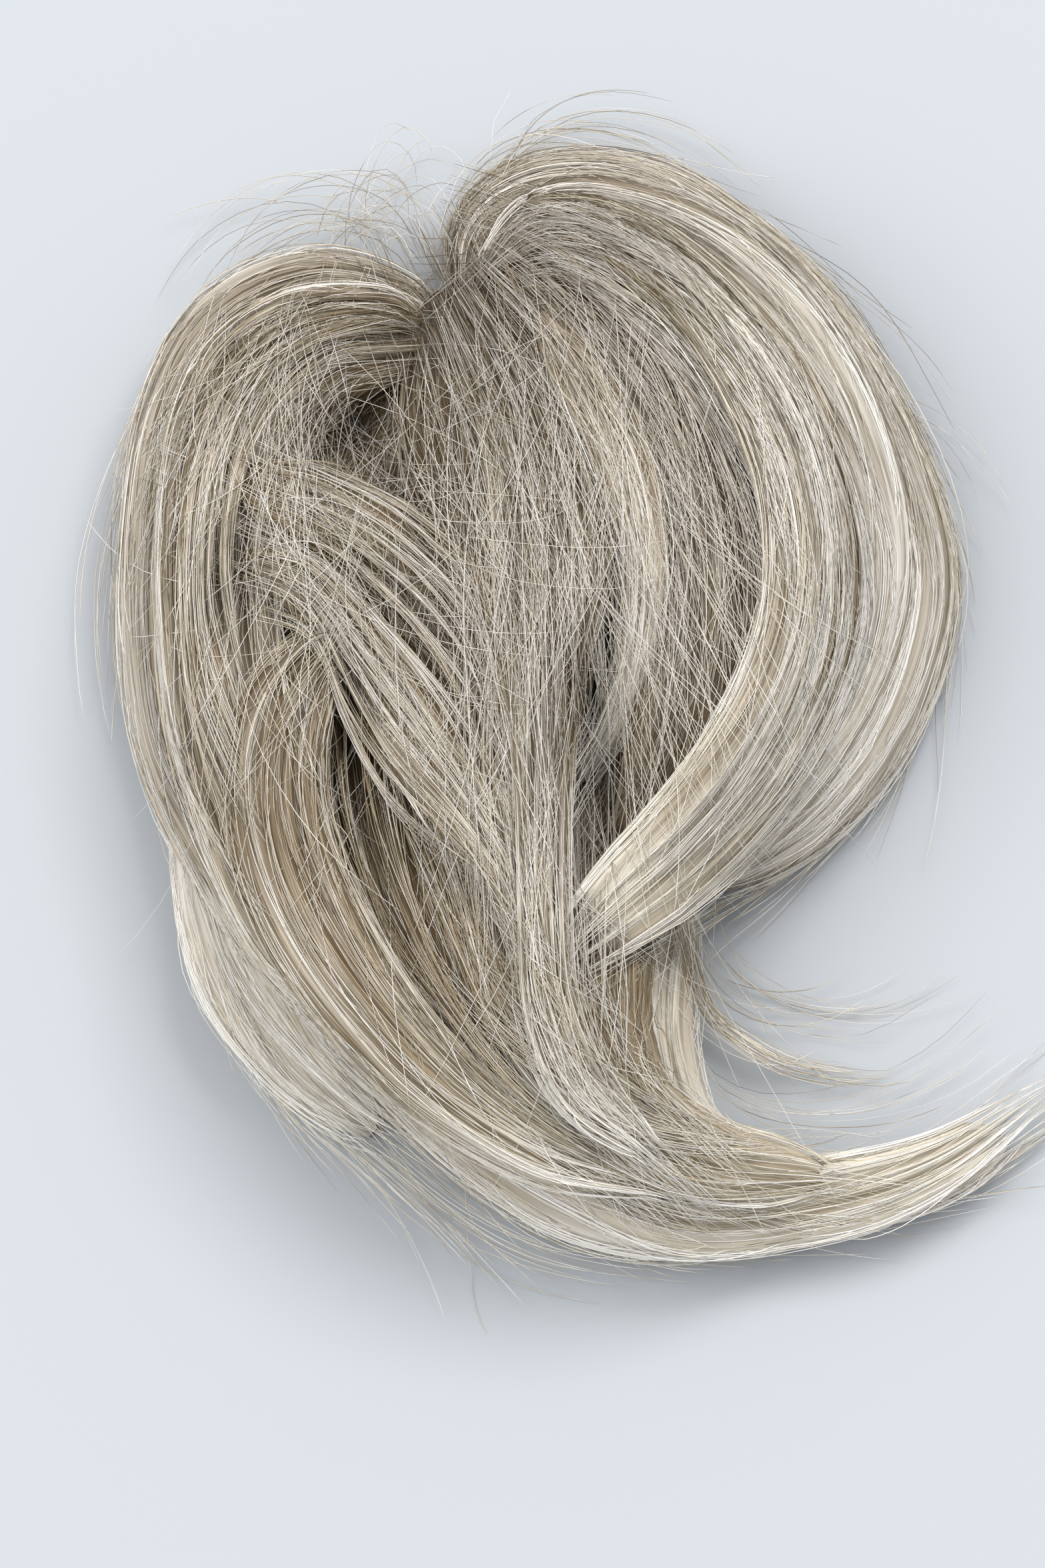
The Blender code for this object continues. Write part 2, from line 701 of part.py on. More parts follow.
def stand_on_origin(things):
    """Moves everything so that the middle of the underside is at the origin."""
    corners = np.array([corner[:] for thing in things for corner in thing.bound_box])
    low, high = corners.min(0), corners.max(0)
    shift = (-(low[0] + high[0]) / 2, -(low[1] + high[1]) / 2, -low[2])
    for thing in things:
        thing.data.transform(Matrix.Translation(shift))


def build():
    clear_scene()
    base_cutter = as_cutter(make_base(CLEARANCE))
    inner_cutter = as_cutter(make_inner_hair(CLEARANCE))
    lower = [inner_cutter]
    base = make_base()
    inner_hair = make_inner_hair()
    cut_away(inner_hair, [base_cutter])
    things = [base, inner_hair]
    stack = start_stack()
    for name, lock in LOCKS.items():
        lift = lift_over(lock, stack)
        add_to_stack(stack, lock, lift)
        cutter = as_cutter(make_lock(name, lift, CLEARANCE))
        piece = make_lock(name, lift)
        cut_away(piece, lower)
        lower.append(cutter)
        things.append(piece)
    for cutter in [base_cutter] + lower:
        bpy.data.objects.remove(cutter)
    stand_on_origin(things)


build()
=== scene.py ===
import math

import bpy
import numpy as np
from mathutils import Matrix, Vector


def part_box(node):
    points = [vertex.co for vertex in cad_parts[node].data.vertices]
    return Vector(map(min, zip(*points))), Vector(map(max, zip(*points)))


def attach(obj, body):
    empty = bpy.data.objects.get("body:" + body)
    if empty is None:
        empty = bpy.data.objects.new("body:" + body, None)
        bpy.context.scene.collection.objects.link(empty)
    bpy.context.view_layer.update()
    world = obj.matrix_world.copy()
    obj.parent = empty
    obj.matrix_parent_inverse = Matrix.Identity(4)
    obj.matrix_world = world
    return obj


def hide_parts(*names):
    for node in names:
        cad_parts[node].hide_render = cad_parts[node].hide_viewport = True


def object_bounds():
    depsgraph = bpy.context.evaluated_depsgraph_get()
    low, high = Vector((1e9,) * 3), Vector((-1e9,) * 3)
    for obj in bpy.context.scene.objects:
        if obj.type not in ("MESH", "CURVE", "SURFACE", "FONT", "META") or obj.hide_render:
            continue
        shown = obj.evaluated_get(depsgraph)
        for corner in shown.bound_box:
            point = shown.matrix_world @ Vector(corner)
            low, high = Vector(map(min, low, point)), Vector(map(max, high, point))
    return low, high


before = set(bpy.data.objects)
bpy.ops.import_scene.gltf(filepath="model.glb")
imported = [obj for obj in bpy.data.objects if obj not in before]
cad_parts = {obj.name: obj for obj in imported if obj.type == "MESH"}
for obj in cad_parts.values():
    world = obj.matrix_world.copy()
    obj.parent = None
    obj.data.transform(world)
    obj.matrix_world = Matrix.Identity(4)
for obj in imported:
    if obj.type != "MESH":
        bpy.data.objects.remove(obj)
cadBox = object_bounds()
print("frame loaded, box", [tuple(round(c, 4) for c in corner) for corner in cadBox])

# sizes that the solids have too, in metres; places are shares of width and rise, read square to
# the camera's line of sight, which stands at sightAngle above the table
pile = {
    "width": 0.158,
    "rise": 0.194,
    "crest": 0.034,
    "sightAngle": math.radians(68),
    "lockWidth": 0.024,
    "lockDepth": 0.009,
    "layer": 0.004,
    "belly": 0.35,   # share of a lock's depth that is below its edges
    "roundness": 2.4,
    "ribHeight": 0.1,
    # at a lock's ends, over so much of its length, it has these shares of its width and depth
    "taperShare": 0.12,
    "endWidth": 0.45,
    "endDepth": 0.35,
    "bendShare": 0.75,   # a lock is at most so much of its bend's radius to each side
    "sectionStep": 0.0135,   # of the solids' sections
    "seatInset": 0.26,
    "basePlace": (0.42, 0.62),
    # across, up, half across, half up, height as a share of the crest
    "heaps": (
        (0.57, 0.66, 0.35, 0.34, 1.00),
        (0.22, 0.64, 0.24, 0.29, 0.80),
        (0.36, 0.36, 0.33, 0.32, 0.66),
        (0.15, 0.31, 0.14, 0.18, 0.36),
        (0.52, 0.15, 0.25, 0.15, 0.34),
        (0.80, 0.12, 0.26, 0.08, 0.14),
    ),
    # across, up, half across, half up, depth as a share of the crest
    "hollows": (
        (0.255, 0.720, 0.050, 0.045, 0.38),
        (0.125, 0.600, 0.030, 0.045, 0.26),
        (0.265, 0.490, 0.020, 0.040, 0.22),
        (0.490, 0.500, 0.035, 0.055, 0.30),
        (0.345, 0.900, 0.035, 0.060, 0.40),
    ),
}

# how the hair is combed, in metres; a strand's step is shorter in a bend
comb = {
    "perSquareMm": 0.133,
    "veilPerSquareMm": 0.036,
    "segments": 12,
    "step": 0.0084,
    "turnStep": 0.175,
    "radius": 0.000084,
    "gap": 0.0001,   # least height of a strand over what is under it
    "clumpWidth": 0.0026,
    "leastClumps": 7,
    "clumpHeight": 0.0008,
    "drift": 0.10,
    "layerHeight": 0.0005,
    "waveHeight": 0.00012,
    "dip": 0.0006,   # how far an end that isn't a tip goes under
    "looseShare": 0.08,
    "looseLift": 0.0018,
    "veilRun": 0.014,   # how far the strands over a lock run on past its ends
    "veilHeight": 0.0011,
    "veilWave": 0.0009,
    "veilFan": 0.0012,
    "veilDip": 0.0008,
    "sheetHeight": 0.0012,
    "flyWave": 0.0008,
    "edgeWave": 0.0005,
    "edgeRaise": 0.006,
    "tintSpread": 0.75,
    "tintMost": 1.7,
    "clumpTints": 0.38,
}

# a lock's body: its sections are at least so many and at most so far apart, with points round the
# upper side and under each edge; it lies so far under the strands
body = {
    "leastSections": 24,
    "sectionStep": 0.0032,
    "overPoints": 37,
    "underPoints": 7,
    "sink": 0.0004,
}

# what a lock has where it names nothing else
usualLock = {
    "seated": False,
    "tipLength": 0.012,
    "feather": 0.0,
    "mess": 1.0,
    "veil": 1.0,
    "amount": 1.0,
    "shows": (0.0, 1.0),
    "tone": (0.0, 0.0),
    # deep is how much of the painted hollow shade a lock takes; body is painted shade added to its body
    # under the strands
    "deep": 1.0,
    "body": 0.05,
    "pull": 0.55,
    "lift": 0.10,
}

spreadSize = np.array((pile["width"], pile["rise"]))
even = np.linspace(0, 1, comb["segments"] + 1)   # steps along a hair
upright = (0.0, 0.0, 1.0)
carriedWords = ("lane", "run", "along", "shade", "tint")


# what the hair's points carry: a lane across and a run along it in millimetres, which its streaks
# follow, how far along it is from the roots, 0 to 1, its shade, 0 to 1, and its tint
def carried(shape, *values):
    return {word: np.broadcast_to(value, shape) for word, value in zip(carriedWords, values)}


# x is across; y is (up - height * cos) / sin of the sight angle, so that things stay where the
# camera sees them; z is the height
def toTable(spot, height):
    depth = (spot[..., 1] - height * math.cos(pile["sightAngle"])) / math.sin(pile["sightAngle"])
    return np.stack((spot[..., 0], depth, height), axis=-1) + tableShift


# the way back: across is x, up is y * sin + z * cos of the sight angle
def toPicture(point):
    placed = point - tableShift
    up = placed[..., 1] * math.sin(pile["sightAngle"]) + placed[..., 2] * math.cos(pile["sightAngle"])
    return np.stack((placed[..., 0], up), axis=-1)


baseLow, baseHigh = (np.array(corner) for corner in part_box("weft_base"))
tableShift = np.zeros(3)
basePoint = toTable(np.array(pile["basePlace"]) * spreadSize, np.array(0.0))
tableShift[:2] = ((baseLow + baseHigh) / 2 - basePoint)[:2]


# height of the pile: the cube root of the sum of cubed heaps, each a paraboloid, less the hollows,
# each a bell
def pileHeight(spot):
    across, up = spot[..., 0] / pile["width"], spot[..., 1] / pile["rise"]
    total = np.zeros(np.shape(across))
    for x, y, halfX, halfY, height in pile["heaps"]:
        far = ((across - x) / halfX) ** 2 + ((up - y) / halfY) ** 2
        total = total + np.clip(height * (1 - far), 0, None) ** 3
    total = np.cbrt(total)
    for x, y, halfX, halfY, depth in pile["hollows"]:
        far = ((across - x) / halfX) ** 2 + ((up - y) / halfY) ** 2
        total = total - np.minimum(depth, 0.5 * total) * np.exp(-far)
    return pile["crest"] * total


# count rows on a Catmull-Rom curve through the given rows, evenly spaced along it
def smoothRows(rows, count, closed=False):
    rows = np.array(rows, float)
    if closed:
        padded = np.vstack((rows[-1], rows, rows[:2]))
    else:
        padded = np.vstack((2 * rows[0] - rows[1], rows, 2 * rows[-1] - rows[-2]))
    share = np.linspace(0, 1, 16, endpoint=False)[:, None]
    fine = [
        0.5 * (2 * b + (c - a) * share + (2 * a - 5 * b + 4 * c - d) * share**2
               + (3 * b - a - 3 * c + d) * share**3)
        for a, b, c, d in zip(padded, padded[1:], padded[2:], padded[3:])
    ]
    fine = np.vstack(fine + [padded[-2:-1]])
    steps = np.linalg.norm(np.diff(fine[:, :2] * spreadSize, axis=0), axis=1)
    along = np.concatenate(([0], np.cumsum(steps)))
    wanted = np.linspace(0, along[-1], count, endpoint=not closed)
    return np.column_stack([np.interp(wanted, along, column) for column in fine.T])


# middle line, sideways direction, half width, depth and own lift of a lock at even places along it;
# the ends taper with the square root of the distance, and a bend's radius limits the half width
def layOut(lock, sections):
    rows = smoothRows(lock["rows"], sections)
    middle = rows[:, :2] * spreadSize
    way = np.gradient(middle, axis=0)
    way /= np.linalg.norm(way, axis=1)[:, None]
    side = np.column_stack((-way[:, 1], way[:, 0]))
    turn = np.linalg.norm(np.gradient(way, axis=0), axis=1)
    step = np.linalg.norm(np.gradient(middle, axis=0), axis=1)
    share = np.linspace(0, 1, sections)
    taper = np.clip(np.minimum(share, 1 - share) / pile["taperShare"], 0, 1) ** 0.5
    endWidth, endDepth = pile["endWidth"], pile["endDepth"]
    half = pile["lockWidth"] / 2 * lock["width"] * rows[:, 2] * (endWidth + (1 - endWidth) * taper)
    half = np.minimum(half, pile["bendShare"] * step / np.maximum(turn, 1e-9))
    depth = pile["lockDepth"] * lock["depth"] * rows[:, 3] * (endDepth + (1 - endDepth) * taper)
    return middle, side, half, depth, pile["layer"] * rows[:, 4]


# rounded profile: 1 in the middle, 0 at the edges at -1 and 1
def roundOver(place):
    return np.clip(1 - np.abs(place) ** pile["roundness"], 0, 1) ** (1 / pile["roundness"])


# the rounded profile with three shallow ribs
def archOver(place):
    return roundOver(place) * (1 + pile["ribHeight"] * np.cos(3 * math.pi * place))


# height of a lock's upper side as a share of its depth: the belly, and the arch over the rest
def upperSide(place):
    return pile["belly"] + (1 - pile["belly"]) * archOver(place)


# what lies on the table so far, as heights in cells of 1 mm
stackStep = 0.001
stackEdge = 20
stackSize = 250
cellPlaces = (np.arange(stackSize) - stackEdge) * stackStep
stack = pileHeight(np.stack(np.meshgrid(cellPlaces, cellPlaces, indexing="ij"), axis=-1))


# the cells that places fall in: the places in steps, rounded, counted from the edge
def cellsAt(spot):
    cells = np.clip(np.round(spot / stackStep).astype(int) + stackEdge, 0, stackSize - 1)
    return cells[..., 0], cells[..., 1]


# height of the stack between its cells, by linear shares of the four around
def stackHeight(field, spot):
    place = np.clip(spot / stackStep + stackEdge, 0, stackSize - 1.001)
    low = place.astype(int)
    share = place - low
    x, y = low[..., 0], low[..., 1]
    u, v = share[..., 0], share[..., 1]
    return (
        field[x, y] * (1 - u) * (1 - v) + field[x + 1, y] * u * (1 - v)
        + field[x, y + 1] * (1 - u) * v + field[x + 1, y + 1] * u * v
    )


# the stack's height along paths of hair, which is stiff: several times over, each place is the higher
# of itself and the mean of itself and its neighbours along the path
def drapedHeight(field, spot, times=3):
    height = stackHeight(field, spot)
    for _ in range(times):
        padded = np.concatenate((height[:, :1], height, height[:, -1:]), axis=1)
        height = np.maximum(height, (padded[:, :-2] + padded[:, 1:-1] + padded[:, 2:]) / 3)
    return height


# narrow channels bridged, as a sheet of hair does: each cell takes the highest within reach of it, then
# the lowest of those within reach
def bridged(field, reach):
    size = field.shape[0]
    for pick in (np.maximum, np.minimum):
        for axis in (0, 1):
            beside = [(reach, reach) if side == axis else (0, 0) for side in (0, 1)]
            padded = np.pad(field, beside, mode="edge")
            parts = [np.take(padded, range(i, i + size), axis=axis) for i in range(2 * reach + 1)]
            field = pick.reduce(parts)
    return field


# the field with each cell made the mean of itself and the eight around it
def softened(field):
    padded = np.pad(field, 1, mode="edge")
    size = field.shape[0]
    return sum(padded[i : i + size, j : j + size] for i in range(3) for j in range(3)) / 9


# how far a lock rises over the pile to lie on what is under it: half the mean and half the highest
# of what stands above the pile under its width, less a part of its depth, widened and blurred
def liftOver(lock):
    places = lock["rows"][:, :2] * spreadSize
    length = np.linalg.norm(np.diff(places, axis=0), axis=1).sum()
    middle, side, half, depth, own = layOut(lock, max(10, round(length / pile["sectionStep"])))
    across = np.linspace(-0.7, 0.7, 9)
    spot = middle[:, None, :] + (across * half[:, None])[..., None] * side[:, None, :]
    above = stack[cellsAt(spot)] - pileHeight(spot)
    need = np.clip((above.mean(1) + above.max(1)) / 2 - pile["belly"] * depth, 0, None)
    need = np.maximum(need, np.maximum(np.append(need[1:], 0), np.append(0, need[:-1])))
    for _ in range(2):
        padded = np.concatenate((need[:1], need, need[-1:]))
        need = (padded[:-2] + 2 * padded[1:-1] + padded[2:]) / 4
    return need + own, length


# a lock's course: its layout at 400 places, with its lift; its upper side is added to the stack
def courseOf(lock):
    lift, length = liftOver(lock)
    fine = 400
    middle, side, half, depth, _ = layOut(lock, fine)
    share = np.linspace(0, 1, fine)
    lift = np.interp(share, np.linspace(0, 1, len(lift)), lift)
    across = np.linspace(-1, 1, 40)
    spot = middle[:, None, :] + (across * half[:, None])[..., None] * side[:, None, :]
    height = pileHeight(spot) + lift[:, None] + depth[:, None] * upperSide(across)
    np.maximum.at(stack, cellsAt(spot), height)
    way = np.column_stack((side[:, 1], -side[:, 0]))
    turn = np.linalg.norm(np.gradient(way, axis=0), axis=1)
    weight = np.concatenate(([0], np.cumsum((length / fine / comb["step"] + turn / comb["turnStep"])[1:])))
    columns = np.column_stack((middle, side, half, depth, lift, weight))
    return {**lock, "share": share, "columns": columns, "length": length, "way": way}


def courseAt(course, share):
    return [np.interp(share, course["share"], column) for column in course["columns"].T]


# middle, sideways direction, half width, depth and lift at a share of the course; past the ends the
# middle goes straight on
def layAt(course, share):
    x, y, sideX, sideY, half, depth, lift = courseAt(course, share)[:7]
    past = (np.clip(share - 1, 0, None) * course["length"])[..., None] * course["way"][-1]
    past = past + (np.clip(share, None, 0) * course["length"])[..., None] * course["way"][0]
    return np.stack((x, y), axis=-1) + past, np.stack((sideX, sideY), axis=-1), half, depth, lift


# a point on a lock's skin. turn goes from -1 to 1 over the upper side and on to 2 and back from -2
# under it; a seated lock's sides come down to the table and its underside lies on it
def skinPoint(course, share, turn):
    middle, side, half, depth, lift = layAt(course, share)
    under = np.abs(turn) > 1
    place = np.where(under, np.sign(turn) * (2 - np.abs(turn)), turn)
    spot = middle + (place * half)[..., None] * side
    rise = np.where(under, pile["belly"] - pile["belly"] * roundOver(place), upperSide(place))
    point = toTable(spot, pileHeight(spot) + lift + depth * rise)
    if course["seated"]:
        hand = np.where(turn > 0, 1.0, -1.0)
        out = (hand * half)[..., None] * side
        near, far = (
            toTable(edge, pileHeight(edge) + lift + pile["belly"] * depth)
            for edge in (middle + out, middle - out)
        )
        down = np.clip((np.abs(turn) - 1) / 0.45, 0, 1)
        inward = pile["seatInset"] * down**2 + 0.24 * np.clip((np.abs(turn) - 1.45) / 0.55, 0, 1)
        inward = inward - 0.04 * np.sin(math.pi * down)
        seat = near + (far - near) * inward[..., None]
        seat[..., 2] = near[..., 2] * (1 - down)
        point = np.where(under[..., None], seat, point)
    point[..., 2] = np.maximum(point[..., 2], 0.0)
    return point


# the skin's outward direction: the cross product of its steps along and around
def skinNormal(course, share, turn):
    along = skinPoint(course, share + 0.004, turn) - skinPoint(course, share - 0.004, turn)
    around = skinPoint(course, share, turn + 0.03) - skinPoint(course, share, turn - 0.03)
    normal = np.cross(along, around)
    return normal / np.maximum(np.linalg.norm(normal, axis=-1, keepdims=True), 1e-12)


# smooth wavering between about -1 and 1: a sum of three sines of random size and phase, one row each
def waver(dice, rows, share, waves):
    total = np.zeros(share.shape)
    for number, weight in ((0.6, 0.55), (1.3, 0.3), (2.4, 0.15)):
        phase = dice.uniform(0, 2 * math.pi, (rows, 1))
        size = dice.normal(0, 1, (rows, 1))
        total = total + weight * size * np.sin(2 * math.pi * (waves * number * share + phase))
    return total


# the clumps of a lock: centres evenly over turns -1.4 to 1.4 with some chance, each wandering as a
# sine of the share
def clumpsOf(dice, course):
    wide = 2.6 * course["columns"][:, 4].mean()
    count = max(comb["leastClumps"], round(wide / comb["clumpWidth"]))
    centres = np.linspace(-1.4, 1.4, count) + dice.uniform(-0.5, 0.5, count) * 1.6 / count
    return {
        "centres": centres,
        "size": comb["drift"] * dice.uniform(0.3, 1.3, count),
        "waves": dice.uniform(0.5, 1.6, count),
        "phase": dice.uniform(0, 2 * math.pi, count),
        "rise": dice.uniform(0.35, 1.25, count),
        "half": 1.4 / count,
    }


# a clump's turn: its centre plus its size times a sine of the share
def clumpTurn(clumps, number, share):
    wave = np.sin(2 * math.pi * clumps["waves"][number] * share + clumps["phase"][number])
    return clumps["centres"][number] + clumps["size"][number] * wave


# height of the clumps over the skin: for each clump 1 - (distance / half width)^2, the highest wins;
# gives the height and how deep the place lies between clumps, 0 to 1
def clumpRise(clumps, share, turn):
    best = np.zeros(np.broadcast(share, turn).shape)
    for number in range(len(clumps["centres"])):
        far = (turn - clumpTurn(clumps, number, share)) / (1.25 * clumps["half"])
        best = np.maximum(best, clumps["rise"][number] * (1 - far**2))
    return comb["clumpHeight"] * best, 1 - np.clip(best, 0, 1)


# tubes of three sides along paths: a ring is the path's point plus the radius times the directions at
# 90, 210 and 330 degrees between the sideways and the upward direction. A tube narrows at both ends
def tubes(paths, radius, values, normals=upright):
    count, points = paths.shape[:2]
    tangent = np.gradient(paths, axis=1)
    tangent /= np.maximum(np.linalg.norm(tangent, axis=2, keepdims=True), 1e-12)
    across = np.cross(normals, tangent)
    across /= np.maximum(np.linalg.norm(across, axis=2, keepdims=True), 1e-12)
    up = np.cross(tangent, across)
    angle = np.radians((90, 210, 330))
    step = np.arange(points)
    narrow = np.clip((np.minimum(step, points - 1 - step) + 0.35) / 1.35, 0, 1)
    thick = (radius * narrow)[..., None, None]
    ring = paths[:, :, None, :] + thick * (
        across[:, :, None, :] * np.cos(angle)[:, None] + up[:, :, None, :] * np.sin(angle)[:, None]
    )
    first = (np.arange(count) * points * 3)[:, None, None]
    i, j = np.meshgrid(np.arange(points - 1), np.arange(3), indexing="ij")
    a, b = 3 * i + j, 3 * i + (j + 1) % 3
    quads = np.stack((a, b, b + 3, a + 3), axis=-1).reshape(-1, 4)
    last = 3 * (points - 1)
    caps = np.array(((2, 1, 0), (last, last + 1, last + 2)))
    column = np.arange(count)[:, None, None] / count
    u = np.stack((j, j + 1, j + 1, j), axis=-1).reshape(-1, 4) / 3.3
    v = np.stack((i, i, i + 1, i + 1), axis=-1).reshape(-1, 4) / (points - 1)
    quadMap = np.stack(np.broadcast_arrays(column + u / count, v[None]), axis=-1)
    u = np.array(((2, 1, 0), (0, 1, 2))) / 3.3
    v = np.array(((0, 0, 0), (1, 1, 1)))
    capMap = np.stack(np.broadcast_arrays(column + u / count, v[None]), axis=-1)
    spread = {
        word: np.broadcast_to(np.asarray(value)[:, :, None], (count, points, 3)).reshape(-1)
        for word, value in values.items()
    }
    return {
        "points": ring.reshape(-1, 3),
        "quads": (quads[None] + first).reshape(-1, 4),
        "triangles": (caps[None] + first).reshape(-1, 3),
        "quadMap": quadMap.reshape(-1, 2),
        "triangleMap": capMap.reshape(-1, 2),
        "values": spread,
    }


# a closed shell over rings of points, with a fan to the middle of the ring at each end
def shell(rings, values):
    count, around = rings.shape[:2]
    i, j = np.meshgrid(np.arange(count - 1), np.arange(around), indexing="ij")
    k = (j + 1) % around
    quads = np.stack((i * around + j, i * around + k, (i + 1) * around + k, (i + 1) * around + j), -1)
    u = np.stack((j, j + 1, j + 1, j), axis=-1) / around
    v = np.stack((i, i, i + 1, i + 1), axis=-1) / (count - 1)
    j = np.arange(around)
    k = (j + 1) % around
    top = (count - 1) * around
    start = np.stack((k, j, np.full(around, count * around)), axis=-1)
    end = np.stack((top + j, top + k, np.full(around, count * around + 1)), axis=-1)
    fanU = np.stack((j + 1, j, j + 0.5), axis=-1) / around
    fanV = np.broadcast_to((0.0, 0.0, 0.01), (around, 3))
    ends = {word: np.concatenate((np.asarray(value).reshape(-1), (value[0, 0], value[-1, 0])))
            for word, value in values.items()}
    return {
        "points": np.vstack((rings.reshape(-1, 3), rings[0].mean(0), rings[-1].mean(0))),
        "quads": quads.reshape(-1, 4),
        "triangles": np.vstack((start, end)),
        "quadMap": np.stack((u, 0.01 + 0.98 * v), axis=-1).reshape(-1, 2),
        "triangleMap": np.vstack((
            np.stack((fanU, fanV), axis=-1).reshape(-1, 2),
            np.stack((fanU[:, (1, 0, 2)], 1 - fanV), axis=-1).reshape(-1, 2),
        )),
        "values": ends,
    }


# parts gathered into one mesh; on the flat map each part takes a column as wide as the square root
# of its share of the faces
def addPiece(name, parts, slot, nodes=(), paint=None):
    starts = np.cumsum([0] + [len(part["points"]) for part in parts])
    points = np.vstack([part["points"] for part in parts])
    quads = np.vstack([part["quads"] + start for part, start in zip(parts, starts)])
    triangles = np.vstack([part["triangles"] + start for part, start in zip(parts, starts)])
    sizes = np.sqrt([len(part["quads"]) for part in parts])
    edges = np.concatenate(([0], np.cumsum(sizes / sizes.sum())))
    flat = []
    for kind in ("quadMap", "triangleMap"):
        for part, low, high in zip(parts, edges, edges[1:]):
            flat.append(part[kind] * (0.98 * (high - low), 0.98) + (low + 0.01 * (high - low), 0.01))
    flat = np.vstack(flat)
    mesh = bpy.data.meshes.new(name)
    mesh.vertices.add(len(points))
    mesh.vertices.foreach_set("co", points.astype(np.float32).ravel())
    mesh.loops.add(quads.size + triangles.size)
    corners = np.concatenate((quads.ravel(), triangles.ravel()))
    mesh.loops.foreach_set("vertex_index", corners.astype(np.int32))
    mesh.polygons.add(len(quads) + len(triangles))
    first = np.concatenate((np.arange(len(quads)) * 4, quads.size + np.arange(len(triangles)) * 3))
    mesh.polygons.foreach_set("loop_start", first.astype(np.int32))
    mesh.update(calc_edges=True)
    mesh.polygons.foreach_set("use_smooth", np.ones(len(first), bool))
    mesh.uv_layers.new(name="OFBake").data.foreach_set("uv", flat.astype(np.float32).ravel())
    for word in carriedWords:
        values = np.concatenate([part["values"][word] for part in parts])
        mesh.attributes.new(word, "FLOAT", "POINT").data.foreach_set("value", values.astype(np.float32))
    made = bpy.data.objects.new(name, mesh)
    bpy.context.scene.collection.objects.link(made)
    mesh.materials.append(paint or hairPaint[slot])
    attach(made, "root")
    if nodes:
        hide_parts(*nodes)
    count = 2 * len(quads) + len(triangles)
    counts.append(count)
    print(f"{name}: {count} triangles")


counts = []

# colours of the hair by tint: root, middle and tip, linear
hairColours = {
    "cream": ((0.520, 0.440, 0.330), (0.790, 0.715, 0.590), (0.940, 0.900, 0.790)),
    "beige": ((0.420, 0.345, 0.240), (0.690, 0.610, 0.480), (0.920, 0.870, 0.740)),
    "ash": ((0.400, 0.335, 0.245), (0.690, 0.628, 0.532), (0.925, 0.892, 0.812)),
    "grey": ((0.455, 0.405, 0.335), (0.755, 0.715, 0.640), (0.925, 0.905, 0.850)),
    "taupe": ((0.350, 0.295, 0.225), (0.520, 0.460, 0.375), (0.740, 0.670, 0.560)),
    "brown": ((0.360, 0.275, 0.170), (0.550, 0.450, 0.300), (0.800, 0.715, 0.550)),
    "under": ((0.230, 0.165, 0.090), (0.340, 0.260, 0.160), (0.430, 0.345, 0.225)),
}
hairFinish = {
    "light": (0.945, 0.922, 0.880, 1.0),
    "gold": (0.420, 0.305, 0.140, 1.0),
    "dark": (0.120, 0.085, 0.042, 1.0),
    # deep is the colour that painted shade draws the hair towards
    "deep": (0.260, 0.205, 0.130, 1.0),
    "lightShare": 0.90,
    "goldShare": 0.38,
    "roughLow": 0.34,
    "roughHigh": 0.52,
    "ridgeHeight": 0.00012,
    # noises: how fine across and along the hair, and their detail
    "streak": (1.9, 0.045, 2.0),
    "band": (0.45, 0.020, 1.0),
    "line": (4.2, 0.05, 1.0),
}


# a new node, with its inputs set or joined; an input may be a number, a colour or another node's output
def node(tree, kind, inputs, **settings):
    made = tree.nodes.new("ShaderNode" + kind)
    for word, value in settings.items():
        setattr(made, word, value)
    for place, value in inputs.items():
        if isinstance(value, bpy.types.NodeSocket):
            tree.links.new(value, made.inputs[place])
        else:
            made.inputs[place].default_value = value
    return made.outputs


# low to high becomes 0 to 1, smoothly
def smoothStep(tree, value, low, high):
    return node(tree, "MapRange", {0: value, 1: low, 2: high}, interpolation_type="SMOOTHSTEP")[0]


# one * (1 - share) + other * share
def blendColours(tree, share, one, other):
    return node(tree, "Mix", {0: share, 6: one, 7: other}, data_type="RGBA")[2]


# noise stretched along the hair: the place is multiplied by across and along first
def hairNoise(tree, place, across, along, detail):
    stretched = node(tree, "VectorMath", {0: place, 1: (across, along, 1.0)}, operation="MULTIPLY")[0]
    return node(tree, "TexNoise", {"Vector": stretched, "Scale": 1.0, "Detail": detail})[0]


# the sum or product of two values
def worked(tree, operation, one, other):
    return node(tree, "Math", {0: one, 1: other}, operation=operation)[0]
